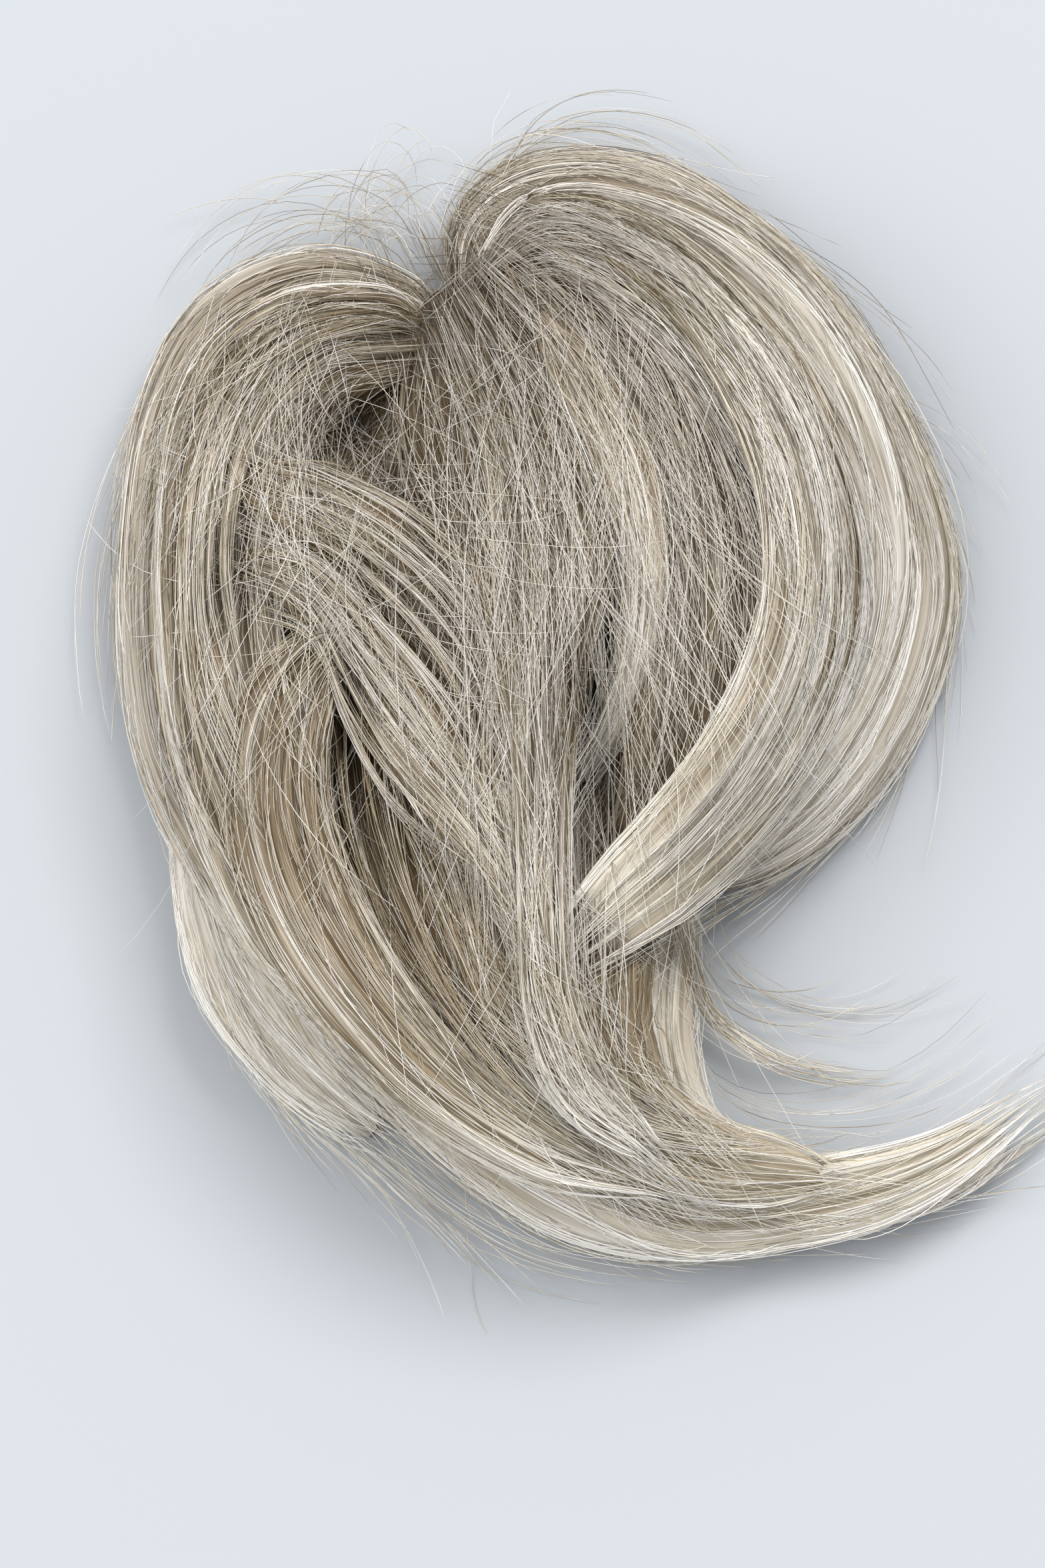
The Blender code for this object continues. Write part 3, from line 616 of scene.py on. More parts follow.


# hair colour: root to middle to tip along the lock, then each strand's own tint and streaks along
# the strands draw it to light, gold or dark, and painted shade, between clumps, under the locks, on low
# strands and in hollows, multiplies it by deep
def makeHairTint():
    group = bpy.data.node_groups.new("hairTint", "ShaderNodeTree")
    for word in ("Root", "Middle", "Tip", "Light", "Gold", "Dark", "Deep"):
        group.interface.new_socket(word, in_out="INPUT", socket_type="NodeSocketColor")
    for word in carriedWords:
        group.interface.new_socket(word.capitalize(), in_out="INPUT", socket_type="NodeSocketFloat")
    group.interface.new_socket("Color", in_out="OUTPUT", socket_type="NodeSocketColor")
    group.interface.new_socket("Streak", in_out="OUTPUT", socket_type="NodeSocketFloat")
    group.interface.new_socket("Ridge", in_out="OUTPUT", socket_type="NodeSocketFloat")
    given = group.nodes.new("NodeGroupInput").outputs
    place = node(group, "CombineXYZ", {0: given["Lane"], 1: given["Run"]})[0]
    streak, band, line = (hairNoise(group, place, *hairFinish[word]) for word in ("streak", "band", "line"))
    swing = node(group, "MapRange", {0: streak, 1: 0.3, 2: 0.7, 3: -0.7, 4: 0.7})[0]
    ripple = node(group, "MapRange", {0: line, 1: 0.3, 2: 0.7, 3: -0.9, 4: 0.9})[0]
    strength = worked(group, "ADD", worked(group, "ADD", given["Tint"], swing), ripple)
    colour = blendColours(group, smoothStep(group, given["Along"], 0.0, 0.4), given["Root"], given["Middle"])
    colour = blendColours(group, smoothStep(group, given["Along"], 0.5, 1.0), colour, given["Tip"])
    light = worked(group, "MULTIPLY", smoothStep(group, strength, 0.0, 1.2), hairFinish["lightShare"])
    colour = blendColours(group, light, colour, given["Light"])
    dark = smoothStep(group, strength, -0.2, -1.1)
    least = node(group, "MapRange", {0: given["Along"], 1: 0.3, 2: 1.0, 3: 0.90, 4: 0.35})[0]
    dark = worked(group, "MULTIPLY", dark, least)
    colour = blendColours(group, dark, colour, given["Dark"])
    gold = worked(group, "MULTIPLY", smoothStep(group, band, 0.50, 0.72), hairFinish["goldShare"])
    colour = blendColours(group, gold, colour, given["Gold"])
    # painted shade: the shade value draws the colour towards deep
    dim = blendColours(group, given["Shade"], (1.0, 1.0, 1.0, 1.0), given["Deep"])
    colour = node(group, "VectorMath", {0: colour, 1: dim}, operation="MULTIPLY")[0]
    result = group.nodes.new("NodeGroupOutput").inputs
    group.links.new(colour, result["Color"])
    group.links.new(streak, result["Streak"])
    group.links.new(line, result["Ridge"])
    return group


# a finish of hair: its colour from the tint group, its roughness by the streaks, its bumps by the lines
def makeHairPaint(name, colours):
    made = bpy.data.materials.new(name)
    made.use_nodes = True
    tree = made.node_tree
    shader = tree.nodes["Principled BSDF"]
    tinter = tree.nodes.new("ShaderNodeGroup")
    tinter.node_tree = hairTint
    for word, colour in zip(("Root", "Middle", "Tip"), colours):
        tinter.inputs[word].default_value = (*colour, 1.0)
    for word in ("Light", "Gold", "Dark", "Deep"):
        tinter.inputs[word].default_value = hairFinish[word.lower()]
    for word in carriedWords:
        value = node(tree, "Attribute", {}, attribute_name=word)["Fac"]
        tree.links.new(value, tinter.inputs[word.capitalize()])
    tree.links.new(tinter.outputs["Color"], shader.inputs["Base Color"])
    limits = {1: 0.3, 2: 0.7, 3: hairFinish["roughLow"], 4: hairFinish["roughHigh"]}
    rough = node(tree, "MapRange", {0: tinter.outputs["Streak"], **limits})[0]
    tree.links.new(rough, shader.inputs["Roughness"])
    ridges = {"Height": tinter.outputs["Ridge"], "Strength": 0.6, "Distance": hairFinish["ridgeHeight"]}
    tree.links.new(node(tree, "Bump", ridges)[0], shader.inputs["Normal"])
    shader.inputs["Specular IOR Level"].default_value = 0.45
    return made


hairTint = makeHairTint()
hairPaint = {tint: makeHairPaint(tint + "Hair", colours) for tint, colours in hairColours.items()}
print("hair finishes made")


# the locks, the lowest first. Width and depth are shares of lockWidth and lockDepth. A row is across
# and up in thousandths of the spread, breadth and thickness in hundredths of the lock's own; lifts
# are in layers. Feather, shows, tone and body speak of the way from the roots, 0, to the tips, 1
# a lock's body is painted shade added to its body under the strands, and deep is how much of the painted
# hollow shade it takes
locks = {
    "blunt_lock": {
        "width": 1.08, "depth": 1.0, "tint": "cream", "seated": True, "feather": 0.22, "veil": 0.6,
        "shows": (0.8, 1.0), "tone": (1.35, 1.65), "deep": 0.0,
        "rows": (
            (120, 450, 35, 55), (124, 385, 55, 85), (146, 322, 75, 100), (174, 268, 82, 90),
            (216, 218, 72, 70), (267, 174, 55, 50), (325, 137, 35, 30),
        ),
    },
    "left_roll": {
        "width": 0.92, "depth": 1.22, "tint": "ash", "seated": True, "feather": 0.16, "veil": 0.5,
        "mess": 0.6, "shows": (0.15, 1.0), "amount": 1.5, "tone": (-0.3, 1.1),
        "rows": (
            (340, 815, 45, 60), (305, 838, 70, 85), (225, 842, 90, 100), (140, 805, 90, 100),
            (89, 735, 75, 100), (69, 643, 65, 100), (69, 546, 65, 100), (86, 462, 65, 90),
            (134, 380, 60, 80), (200, 298, 58, 75), (300, 222, 58, 80), (395, 142, 58, 80),
            (495, 86, 58, 75), (605, 62, 50, 60), (720, 72, 38, 45), (830, 90, 22, 25),
        ),
    },
    "tail_lock": {
        "width": 0.71, "depth": 0.89, "tint": "cream", "seated": True, "feather": 0.14,
        "tipLength": 0.02, "veil": 0.8, "shows": (0.7, 1.0), "tone": (0.6, 1.8), "deep": 0.0,
        "rows": (
            (610, 350, 50, 60), (580, 282, 75, 85), (577, 205, 78, 100), (610, 138, 70, 95),
            (690, 94, 60, 80), (790, 84, 48, 65), (890, 108, 46, 45), (980, 162, 38, 25),
        ),
    },
    "right_outer_roll": {
        "width": 1.0, "depth": 1.22, "tint": "ash", "seated": True, "feather": 0.1, "veil": 0.5,
        "mess": 0.6, "shows": (0.1, 1.0), "amount": 1.5, "tone": (0.3, 0.8),
        "rows": (
            (378, 850, 40, 60), (405, 905, 60, 80), (470, 928, 72, 90), (560, 921, 78, 95),
            (638, 881, 80, 100), (708, 828, 80, 100), (768, 755, 82, 100), (812, 675, 85, 100),
            (830, 597, 85, 100), (805, 512, 80, 100), (754, 438, 70, 90), (680, 382, 60, 75),
            (600, 342, 45, 50),
        ),
    },
    "pocket_roll": {
        "width": 0.83, "depth": 1.0, "tint": "taupe", "veil": 1.2, "mess": 1.5, "amount": 0.8,
        "tone": (-0.15, -0.1),
        "rows": (
            (345, 800, 45, 60), (305, 795, 65, 80), (240, 785, 85, 100), (175, 735, 85, 100),
            (145, 660, 80, 100), (140, 575, 80, 90), (150, 490, 80, 80), (170, 410, 70, 70),
            (200, 340, 50, 50),
        ),
    },
    "left_inner_roll": {
        "width": 0.75, "depth": 1.0, "tint": "beige", "feather": 0.05, "tipLength": 0.016, "veil": 0.7,
        "shows": (0.1, 1.0), "amount": 1.2, "tone": (-0.7, 1.25), "body": 0.16,
        "rows": (
            (335, 825, 40, 50), (285, 832, 55, 75), (205, 820, 65, 90), (140, 780, 65, 100),
            (105, 715, 60, 100), (94, 635, 60, 100), (98, 555, 62, 90), (115, 470, 68, 85),
            (148, 385, 75, 85), (205, 300, 80, 85), (295, 235, 80, 85), (390, 168, 85, 80),
            (490, 116, 85, 75), (610, 75, 85, 60), (740, 80, 75, 50), (860, 108, 60, 35),
            (975, 165, 35, 20),
        ),
    },
    "under_fall": {
        "width": 1.0, "depth": 0.89, "tint": "brown", "shows": (0.3, 0.9), "amount": 0.8,
        "tone": (-1.45, 0.7), "body": 0.2,
        "rows": (
            (280, 560, 50, 60), (290, 480, 75, 90), (315, 390, 90, 100), (355, 300, 90, 100),
            (415, 215, 80, 90), (495, 150, 65, 70), (590, 112, 45, 45),
        ),
    },
    "inner_fall": {
        "width": 0.92, "depth": 0.89, "tint": "brown", "shows": (0.3, 0.9), "amount": 0.9,
        "tone": (-1.45, 0.7), "body": 0.2,
        "rows": (
            (350, 540, 50, 60), (375, 460, 80, 90), (405, 370, 90, 100), (430, 280, 85, 95),
            (465, 200, 75, 80), (530, 135, 50, 45),
        ),
    },
    "left_loop": {
        "width": 0.79, "depth": 1.0, "tint": "beige", "shows": (0.3, 1.0), "amount": 1.2,
        "tone": (-0.62, 0.9), "body": 0.28, "pull": 0.72,
        "rows": (
            (270, 550, 45, 55), (225, 530, 70, 85), (190, 470, 90, 100), (188, 395, 95, 100),
            (220, 320, 95, 100), (280, 245, 85, 90), (360, 178, 75, 80), (460, 125, 60, 60),
            (570, 95, 40, 40),
        ),
    },
    "lower_fall": {
        "width": 0.88, "depth": 1.0, "tint": "brown", "shows": (0.4, 1.0), "tone": (-1.2, 0.9),
        "body": 0.22,
        "rows": (
            (540, 345, 60, 60), (518, 280, 85, 90), (520, 210, 90, 100), (560, 150, 75, 90),
            (640, 112, 60, 70), (750, 100, 40, 40),
        ),
    },
    "right_middle_roll": {
        "width": 0.92, "depth": 1.0, "tint": "grey", "veil": 0.8, "shows": (0.1, 1.0), "amount": 1.3,
        "tone": (0.1, 0.6), "body": 0.16, "mess": 0.7,
        "rows": (
            (400, 870, 40, 50), (460, 910, 65, 80), (550, 900, 80, 95), (640, 860, 90, 100),
            (715, 795, 92, 100), (765, 715, 90, 100), (790, 625, 88, 100), (776, 543, 85, 100),
            (728, 464, 80, 95), (655, 390, 70, 80), (565, 335, 55, 50),
        ),
    },
    "crown_veil": {
        "width": 1.25, "depth": 0.89, "tint": "taupe", "veil": 1.6, "mess": 1.6,
        "tone": (-0.75, -0.55), "body": 0.46, "pull": 0.85,
        "rows": (
            (410, 840, 40, 50), (480, 840, 70, 80), (560, 780, 95, 100), (620, 700, 100, 100),
            (648, 610, 95, 100), (640, 520, 85, 95), (603, 440, 70, 80), (555, 370, 50, 50),
        ),
    },
    "swoop": {
        "width": 0.75, "depth": 1.0, "tint": "cream", "feather": 0.06,
        "shows": (0.15, 1.0), "amount": 1.5, "tone": (-1.15, -0.05), "deep": 0.0, "body": 0.22,
        "mess": 0.6,
        "rows": (
            (445, 925, 40, 50), (530, 900, 60, 75), (620, 845, 70, 90), (690, 770, 80, 100),
            (732, 685, 85, 100), (742, 595, 90, 100), (718, 510, 95, 100), (668, 435, 100, 100),
            (600, 370, 100, 95), (533, 320, 95, 75), (478, 280, 85, 45),
        ),
    },
    "crossing_lock": {
        "width": 0.67, "depth": 0.78, "tint": "beige", "veil": 1.8, "mess": 1.5, "tone": (-0.35, 0.05),
        "body": 0.36, "pull": 0.8,
        "rows": (
            (140, 690, 60, 50), (220, 660, 85, 85), (300, 618, 95, 100), (368, 560, 100, 100),
            (412, 490, 90, 100), (435, 410, 65, 85), (447, 330, 40, 50),
        ),
    },
    "lower_crossing_lock": {
        "width": 0.58, "depth": 0.67, "tint": "cream", "veil": 1.8, "tone": (-0.3, 0.2), "body": 0.3,
        "pull": 0.8,
        "rows": (
            (150, 620, 50, 50), (220, 595, 75, 85), (275, 535, 90, 100), (330, 470, 100, 100),
            (385, 410, 90, 100), (430, 350, 65, 80), (452, 290, 40, 50),
        ),
    },
    "centre_fall": {
        "width": 1.5, "depth": 0.89, "tint": "ash", "veil": 1.8, "mess": 1.6, "tone": (-1.35, 0.5),
        "body": 0.46, "pull": 0.85, "lifts": (0.1, 0.1, 0.1, 0.1, 0.3, 0.4, 0.4, 0.4, 0.4, 0.4, 0.4),
        "rows": (
            (355, 850, 40, 50), (390, 790, 80, 80), (428, 715, 100, 100), (445, 635, 85, 100),
            (452, 555, 55, 100), (455, 475, 34, 100), (457, 395, 27, 95), (460, 310, 25, 90),
            (468, 240, 26, 80), (500, 175, 26, 70), (560, 130, 22, 50),
        ),
    },
    "pale_curl": {
        "width": 0.58, "depth": 0.67, "tint": "cream", "veil": 1.8, "shows": (0.0, 1.0), "amount": 1.4,
        "tone": (-0.75, 2.1), "deep": 0.0, "body": 0.1,
        "rows": (
            (455, 830, 42, 50), (502, 768, 62, 80), (543, 697, 60, 100), (565, 620, 53, 100),
            (560, 548, 47, 100), (535, 485, 42, 95), (496, 430, 36, 60),
        ),
    },
}
for lock in locks.values():
    for word, usual in usualLock.items():
        lock.setdefault(word, usual)
    shares = np.array(lock["rows"]) / (1000, 1000, 100, 100)
    lifts = lock.get("lifts", np.full(len(shares), lock["lift"]))
    lock["rows"] = np.column_stack((shares, lifts))


# places in the hollows between the locks where shade is painted into the hair's colour: across, up,
# half across, half up and how much it darkens
shadedHollows = (
    (0.275, 0.745, 0.045, 0.035, 0.45),
    (0.120, 0.590, 0.030, 0.060, 0.45),
    (0.590, 0.430, 0.050, 0.070, 0.75),
    (0.622, 0.517, 0.040, 0.080, 0.50),
    (0.497, 0.500, 0.026, 0.065, 0.60),
    (0.270, 0.455, 0.020, 0.060, 0.50),
    (0.350, 0.380, 0.060, 0.090, 0.38),
    (0.600, 0.265, 0.050, 0.070, 0.30),
    (0.430, 0.730, 0.130, 0.130, 0.24),
    (0.370, 0.690, 0.028, 0.060, 0.40),
    (0.520, 0.650, 0.022, 0.050, 0.45),
    (0.630, 0.620, 0.028, 0.085, 0.35),
    (0.430, 0.530, 0.090, 0.120, 0.38),
    (0.290, 0.590, 0.110, 0.060, 0.30),
    (0.190, 0.420, 0.060, 0.090, 0.30),
    (0.370, 0.230, 0.110, 0.070, 0.42),
    (0.465, 0.640, 0.030, 0.045, 0.35),
    (0.555, 0.475, 0.035, 0.050, 0.50),
)


# how much painted shade darkens the hair's colour, 0 to 1. A lock's body: all of it, more between clumps,
# less at the tips, more underneath, and at most. Its strands: between clumps, and low ones, less at the
# tips. Low hairs of veils and sheets; how much of the painted hollow shade sheets take, the most of it, and
# how much less on top
shading = {
    "body": 0.42,
    "bodyBetween": 0.5,
    "bodyTips": 0.32,
    "bodyUnder": 0.15,
    "bodyMost": 0.95,
    "strandBetween": 0.35,
    "strandLow": 0.45,
    "strandTips": 0.95,
    "veilLow": 0.2,
    "sheetLow": 0.15,
    "sheetDeep": 0.70,
    "deepMost": 0.85,
    "onTopLess": 0.6,
}


# how much painted shade a place gets in the hollows between the locks: a sum of bells, less for hair that
# lies on top
def deepShade(point, above):
    across, up = np.moveaxis(toPicture(point) / spreadSize, -1, 0)
    total = np.zeros(across.shape)
    for x, y, halfX, halfY, depth in shadedHollows:
        total = total + depth * np.exp(-(((across - x) / halfX) ** 2) - ((up - y) / halfY) ** 2)
    return np.clip(total, 0, shading["deepMost"]) * (1 - shading["onTopLess"] * above)


# places round a lock in millimetres, 100 apart from one lock to the next; streaks of colour follow
# them, so that neighbouring strands and the body under them share a streak
def laneOf(course, turn):
    return turn * course["columns"][:, 4].mean() * 1300 + 100 * course["number"]


# from the first value at the lock's roots to the second at its tips. Shows says how far from the roots
# of the hair a place is, 0 to 1; tone is added to the strands' tints
def valueAt(course, word, share):
    root, tip = course[word]
    return root + (tip - root) * np.clip(share, 0, 1)


# body of a lock: its skin, a little sunk, with the clumps' ridges on it; towards a feathered tip it
# thins out before the strands do
def lockBody(course, clumps):
    length = course["length"]
    count = max(body["leastSections"], round(length / body["sectionStep"]))
    share = np.linspace(0.0, 1.0 - 0.5 * course["feather"], count)[:, None]
    over, under = body["overPoints"], body["underPoints"]
    turn = np.concatenate((np.linspace(-1.0, 1.0, over), np.linspace(1.0, 1.9, under)[1:],
                           np.linspace(-1.9, -1.0, under)[:-1]))[None, :]
    share, turn = np.broadcast_arrays(share, turn[:, ::-1])
    rise, between = clumpRise(clumps, share, turn)
    skin = skinPoint(course, share, turn)
    normal = skinNormal(course, np.clip(share, 0.004, 0.996), turn)
    fade = np.clip(np.minimum(share, 1 - share) / 0.03, 0, 1) * np.clip(1.7 - np.abs(turn), 0, 1)
    rings = skin + normal * (fade * rise - body["sink"])[..., None]
    if course["feather"]:
        thin = 1 - 0.8 * np.clip((share - 1 + course["feather"]) / (0.5 * course["feather"]), 0, 1) ** 2
        middle = rings.mean(axis=1, keepdims=True) * (1, 1, 0)
        rings = middle + (rings - middle) * thin[..., None]
    rings[..., 2] = np.maximum(rings[..., 2], 0.0)
    aged = valueAt(course, "shows", share)
    # painted shade: the body is darkened like the gaps between strands, more between clumps and underneath,
    # less towards the tips, plus the painted hollow shade
    shade = shading["body"] + course["body"] + shading["bodyBetween"] * between
    shade = shade - shading["bodyTips"] * aged + shading["bodyUnder"] * (np.abs(turn) > 1.05)
    shade = np.clip(shade + deepShade(rings, 0.0) * course["deep"], 0, shading["bodyMost"])
    tint = 0.5 * valueAt(course, "tone", share) - 0.25
    return shell(rings, carried(turn.shape, laneOf(course, turn), share * length * 1000, aged, shade, tint))


# where strands lie along a lock: each covers a part of the length, its points even by the course's
# weight. Gives shares for each point, and which strands reach the tip
def strandShares(dice, course, count, past):
    weight = course["columns"][:, 7]
    span = dice.uniform(0.5, 1.0, count) * comb["segments"]
    first = dice.uniform(-0.4 * span, weight[-1] - 0.25 * span)
    last = first + span
    back = dice.uniform(0, 1, count) ** 2 * course["tipLength"]
    back = back + dice.uniform(0, 1, count) * course["feather"] * course["length"]
    reach = 1 + (past + 0.3 * course["tipLength"] - back) / course["length"]
    tipped = last >= weight[-1]
    high = np.where(tipped, reach, np.minimum(np.interp(last, weight, course["share"]), reach))
    low = np.interp(first, weight, course["share"]) - (first < 0) * past / course["length"]
    low = np.minimum(low, high - 0.08)
    places = np.interp(low, course["share"], weight)[:, None] * (1 - even)
    places = places + np.interp(high, course["share"], weight)[:, None] * even
    share = np.interp(places, weight, course["share"])
    share = share + np.clip(high - 1, 0, None)[:, None] * even**2
    share = share + np.clip(low, None, 0)[:, None] * (1 - even) ** 2
    return share, tipped | (high >= reach - 0.02)


# tints spread round a mean as a bell, cut off at both ends
def strandTints(dice, count, mean):
    return np.clip(dice.normal(mean, comb["tintSpread"], (count, 1)), -comb["tintMost"], comb["tintMost"])


# strands of a lock. A strand's turn round the skin is drawn to its clump's and wanders; its height
# over the skin is its clump's rise plus its own, and it dips under at an end that isn't a tip
def lockStrands(dice, course, clumps):
    widest = 1.4 if course["seated"] else 1.2
    area = 1e6 * course["length"] * course["columns"][:, 4].mean() * 2 * widest
    count = round(area * comb["perSquareMm"] * course["amount"])
    share, free = strandShares(dice, course, count, 0.0)
    home = dice.uniform(-widest, widest, count)
    nearest = np.argmin(np.abs(home[:, None] - clumps["centres"]), axis=1)
    middle = clumpTurn(clumps, nearest[:, None], share)
    pull = np.clip(course["pull"] * (0.5 + 0.8 * share), 0, 0.92)
    off = (home - clumps["centres"][nearest])[:, None] * (1 - pull)
    turn = middle + off + 0.025 * waver(dice, count, share, 2.0)
    loose = (dice.uniform(0, 1, count) < comb["looseShare"] * course["mess"])[:, None]
    stray = 0.30 * waver(dice, count, share, 0.8)
    stray = stray + dice.normal(0, 0.25, (count, 1)) * (share - share[:, :1]) * 3
    turn = np.clip(turn + stray * loose, -1.42, 1.42)
    rise, between = clumpRise(clumps, np.clip(share, 0, 1), turn)
    layer = dice.uniform(0, 1, (count, 1)) ** 1.5
    height = rise + comb["layerHeight"] * layer + comb["waveHeight"] * waver(dice, count, share, 2.5)
    lifted = np.sin(math.pi * even) * dice.uniform(0.2, 1.0, (count, 1)) * comb["looseLift"]
    height = height + lifted * loose
    ends = np.minimum(even * 5, 1) * np.where(free[:, None], 1, np.minimum((1 - even) * 5, 1))
    height = height * ends - (1 - ends) * comb["dip"]
    normal = skinNormal(course, np.clip(share, 0.006, 0.994), turn)
    path = skinPoint(course, np.clip(share, 0.002, None), turn) + normal * height[..., None]
    radius = comb["radius"] * dice.uniform(0.6, 1.25, (count, 1))
    path[..., 2] = np.maximum(path[..., 2], radius + comb["gap"])
    tint = strandTints(dice, count, 0.05) + clumps["tint"][nearest][:, None] + valueAt(course, "tone", share)
    aged = valueAt(course, "shows", share)
    low = shading["strandLow"] * (1 - layer) * (1 - loose) * (1 - shading["strandTips"] * aged)
    shade = shading["strandBetween"] * between + low
    shade = np.clip(shade + deepShade(path, layer) * course["deep"], 0, 1)
    lane, run = laneOf(course, home[:, None]), share * course["length"] * 1000
    return tubes(path, radius, carried(share.shape, lane, run, aged, shade, tint), normal)


# strands that lie loosely over a lock and what is beside it, on the stack as it is when the lock is
# down; they run on past its ends and fan out there
def lockVeil(dice, course, field):
    wide = course["columns"][:, 4].max()
    area = 1e6 * course["length"] * wide * 2
    count = round(area * comb["veilPerSquareMm"] * course["veil"])
    share, _ = strandShares(dice, course, count, comb["veilRun"])
    middle, side, half, _, _ = layAt(course, share)
    home = dice.uniform(-1, 1, (count, 1))
    reach = np.maximum(half, 0.62 * wide) * 1.12
    off = home * reach + comb["veilWave"] * waver(dice, count, share, 1.2)
    off = off + dice.normal(0, comb["veilFan"], (count, 1)) * (even - 0.5) * 2 * course["mess"]
    spot = middle + off[..., None] * side
    layer = dice.uniform(0, 1, (count, 1)) ** 2
    height = drapedHeight(field, spot) + comb["gap"] + comb["veilHeight"] * layer
    height = height - comb["veilDip"] * np.clip(1 - even * 6, 0, 1)
    radius = comb["radius"] * dice.uniform(0.55, 1.1, (count, 1))
    path = toTable(spot, np.maximum(height, radius + comb["gap"]))
    lane, run = laneOf(course, home), share * course["length"] * 1000
    shade = np.clip(shading["veilLow"] * (1 - layer) + deepShade(path, layer) * course["deep"], 0, 1)
    tint = strandTints(dice, count, 0.25) + 0.6 * valueAt(course, "tone", share)
    return tubes(path, radius, carried(share.shape, lane, run, valueAt(course, "shows", share), shade, tint))


courses = {}
for number, (name, lock) in enumerate(locks.items()):
    dice = np.random.default_rng(100 + number)
    if name == "pale_curl":
        veilField = softened(stack)   # the sheets of hair lie on this, under the curl
    course = courseOf(lock)
    course["number"] = number
    clumps = clumpsOf(dice, course)
    clumps["tint"] = dice.normal(0, comb["clumpTints"] * min(course["mess"], 1), len(clumps["centres"]))
    courses[name] = course
    parts = [
        lockBody(course, clumps),
        lockStrands(dice, course, clumps),
        lockVeil(dice, course, softened(stack)),
    ]
    addPiece(name.replace("_", " ").title().replace(" ", ""), parts, lock["tint"], [name])
print("locks combed,", sum(counts), "triangles so far")


# the mound under the locks: rings from its edge to its middle on the pile's height
innerHair = {
    "centre": (0.42, 0.56),
    "leastHeight": 0.0025,
    "root": (0.345, 0.800),
    "strands": 380,
    "rootSpread": 0.0035,
    "bendSpread": 0.008,
    "strandRaise": 0.0006,
    "moundShade": 0.45,
    "strandShade": 0.15,
    "edge": (
        (0.83, 0.60), (0.78, 0.76), (0.68, 0.87), (0.54, 0.92), (0.42, 0.89), (0.33, 0.80),
        (0.22, 0.84), (0.11, 0.77), (0.05, 0.64), (0.06, 0.50), (0.11, 0.38), (0.17, 0.28),
        (0.27, 0.19), (0.40, 0.12), (0.53, 0.10), (0.57, 0.18), (0.58, 0.30), (0.71, 0.41),
        (0.80, 0.49),
    ),
}


# its strands are bent lines from the root to the edge: (1 - s)^2 * start + 2 s (1 - s) * bend + s^2 * end
def makeInnerHair():
    dice = np.random.default_rng(61)
    centre = np.array(innerHair["centre"]) * spreadSize
    edge = smoothRows(innerHair["edge"], 96, closed=True) * spreadSize
    ring = np.concatenate(([1.0], np.linspace(1.0, 0.02, 30)))[:, None, None]
    spot = centre + (edge - centre) * ring
    height = np.maximum(pileHeight(spot), innerHair["leastHeight"]) - 0.0002
    height = height + 0.0003 * np.sin(spot[..., 0] * 5200 + 9 * np.sin(spot[..., 1] * 90))
    rings = toTable(spot, height)
    rings[0, :, 2] = 0.0
    rings[0, :, :2] = rings[1, :, :2]
    lane, run, along = spot[..., 0] * 1000, spot[..., 1] * 1000, 1 - spot[..., 1] / pile["rise"]
    mound = shell(rings, carried(height.shape, lane, run, along, innerHair["moundShade"], -0.1))
    count = innerHair["strands"]
    steps = even[None, :, None]
    start = np.array(innerHair["root"]) * spreadSize + dice.normal(0, innerHair["rootSpread"], (count, 1, 2))
    picked = edge[dice.integers(0, 96, count)][:, None]
    end = centre + (picked - centre) * dice.uniform(0.75, 1.0, (count, 1, 1))
    bend = (start + end) / 2 + dice.normal(0, innerHair["bendSpread"], (count, 1, 2))
    spot = (1 - steps) ** 2 * start + 2 * steps * (1 - steps) * bend + steps**2 * end
    height = np.maximum(pileHeight(spot), innerHair["leastHeight"])
    height = height + dice.uniform(0, innerHair["strandRaise"], (count, 1))
    lane, tint = dice.uniform(0, 90, (count, 1)), dice.normal(0.1, 0.5, (count, 1))
    values = carried(height.shape, lane, even * 100, even * 0.8, innerHair["strandShade"], tint)
    strands = tubes(toTable(spot, height), comb["radius"] * np.ones((count, 1)), values)
    addPiece("InnerHair", [mound, strands], "under", ["inner_hair"])


makeInnerHair()
print("inner hair made")


# the sewn base under the hair: an oval pad with a rolled rim, crossed by rows of weft with stitches
weft = {
    "rimShare": 0.06,
    "rows": 9,
    "rowHeight": 0.00022,
    "stitchStep": 0.0022,
    "threadStep": 0.0008,
    # colour of the painted shade where the weave's threads lie low
    "shadedLowThread": (0.300, 0.235, 0.160, 1.0),
    "paleThread": (0.560, 0.480, 0.365, 1.0),
    "roughLow": 0.72,
    "roughHigh": 0.92,
}


# threads that cross: the product of two waves, thread high and thread low, with painted shade where the
# threads lie low, tinted by a coarse noise
def makeWeftPaint():
    made = bpy.data.materials.new("weftTape")
    made.use_nodes = True
    tree = made.node_tree
    shader = tree.nodes["Principled BSDF"]
    place = tree.nodes.new("ShaderNodeTexCoord").outputs["Object"]
    scale = 2 * math.pi / (20 * weft["threadStep"])
    wave = {"Vector": place, "Scale": scale, "Distortion": 0.6}
    waves = [node(tree, "TexWave", wave, bands_direction=way)["Fac"] for way in ("X", "Y")]
    threads = worked(tree, "MULTIPLY", *waves)
    stain = node(tree, "TexNoise", {"Vector": place, "Scale": 260.0, "Detail": 3.0})[0]
    share = worked(tree, "ADD", threads, stain)
    # painted shade: the colour goes darker where the threads lie low
    colour = blendColours(tree, smoothStep(tree, share, 0.2, 1.2), weft["shadedLowThread"], weft["paleThread"])
    tree.links.new(colour, shader.inputs["Base Color"])
    limits = {1: 0.3, 2: 0.7, 3: weft["roughLow"], 4: weft["roughHigh"]}
    tree.links.new(node(tree, "MapRange", {0: stain, **limits})[0], shader.inputs["Roughness"])
    raised = node(tree, "Bump", {"Height": threads, "Strength": 0.7, "Distance": 0.0002})[0]
    tree.links.new(raised, shader.inputs["Normal"])
    return made


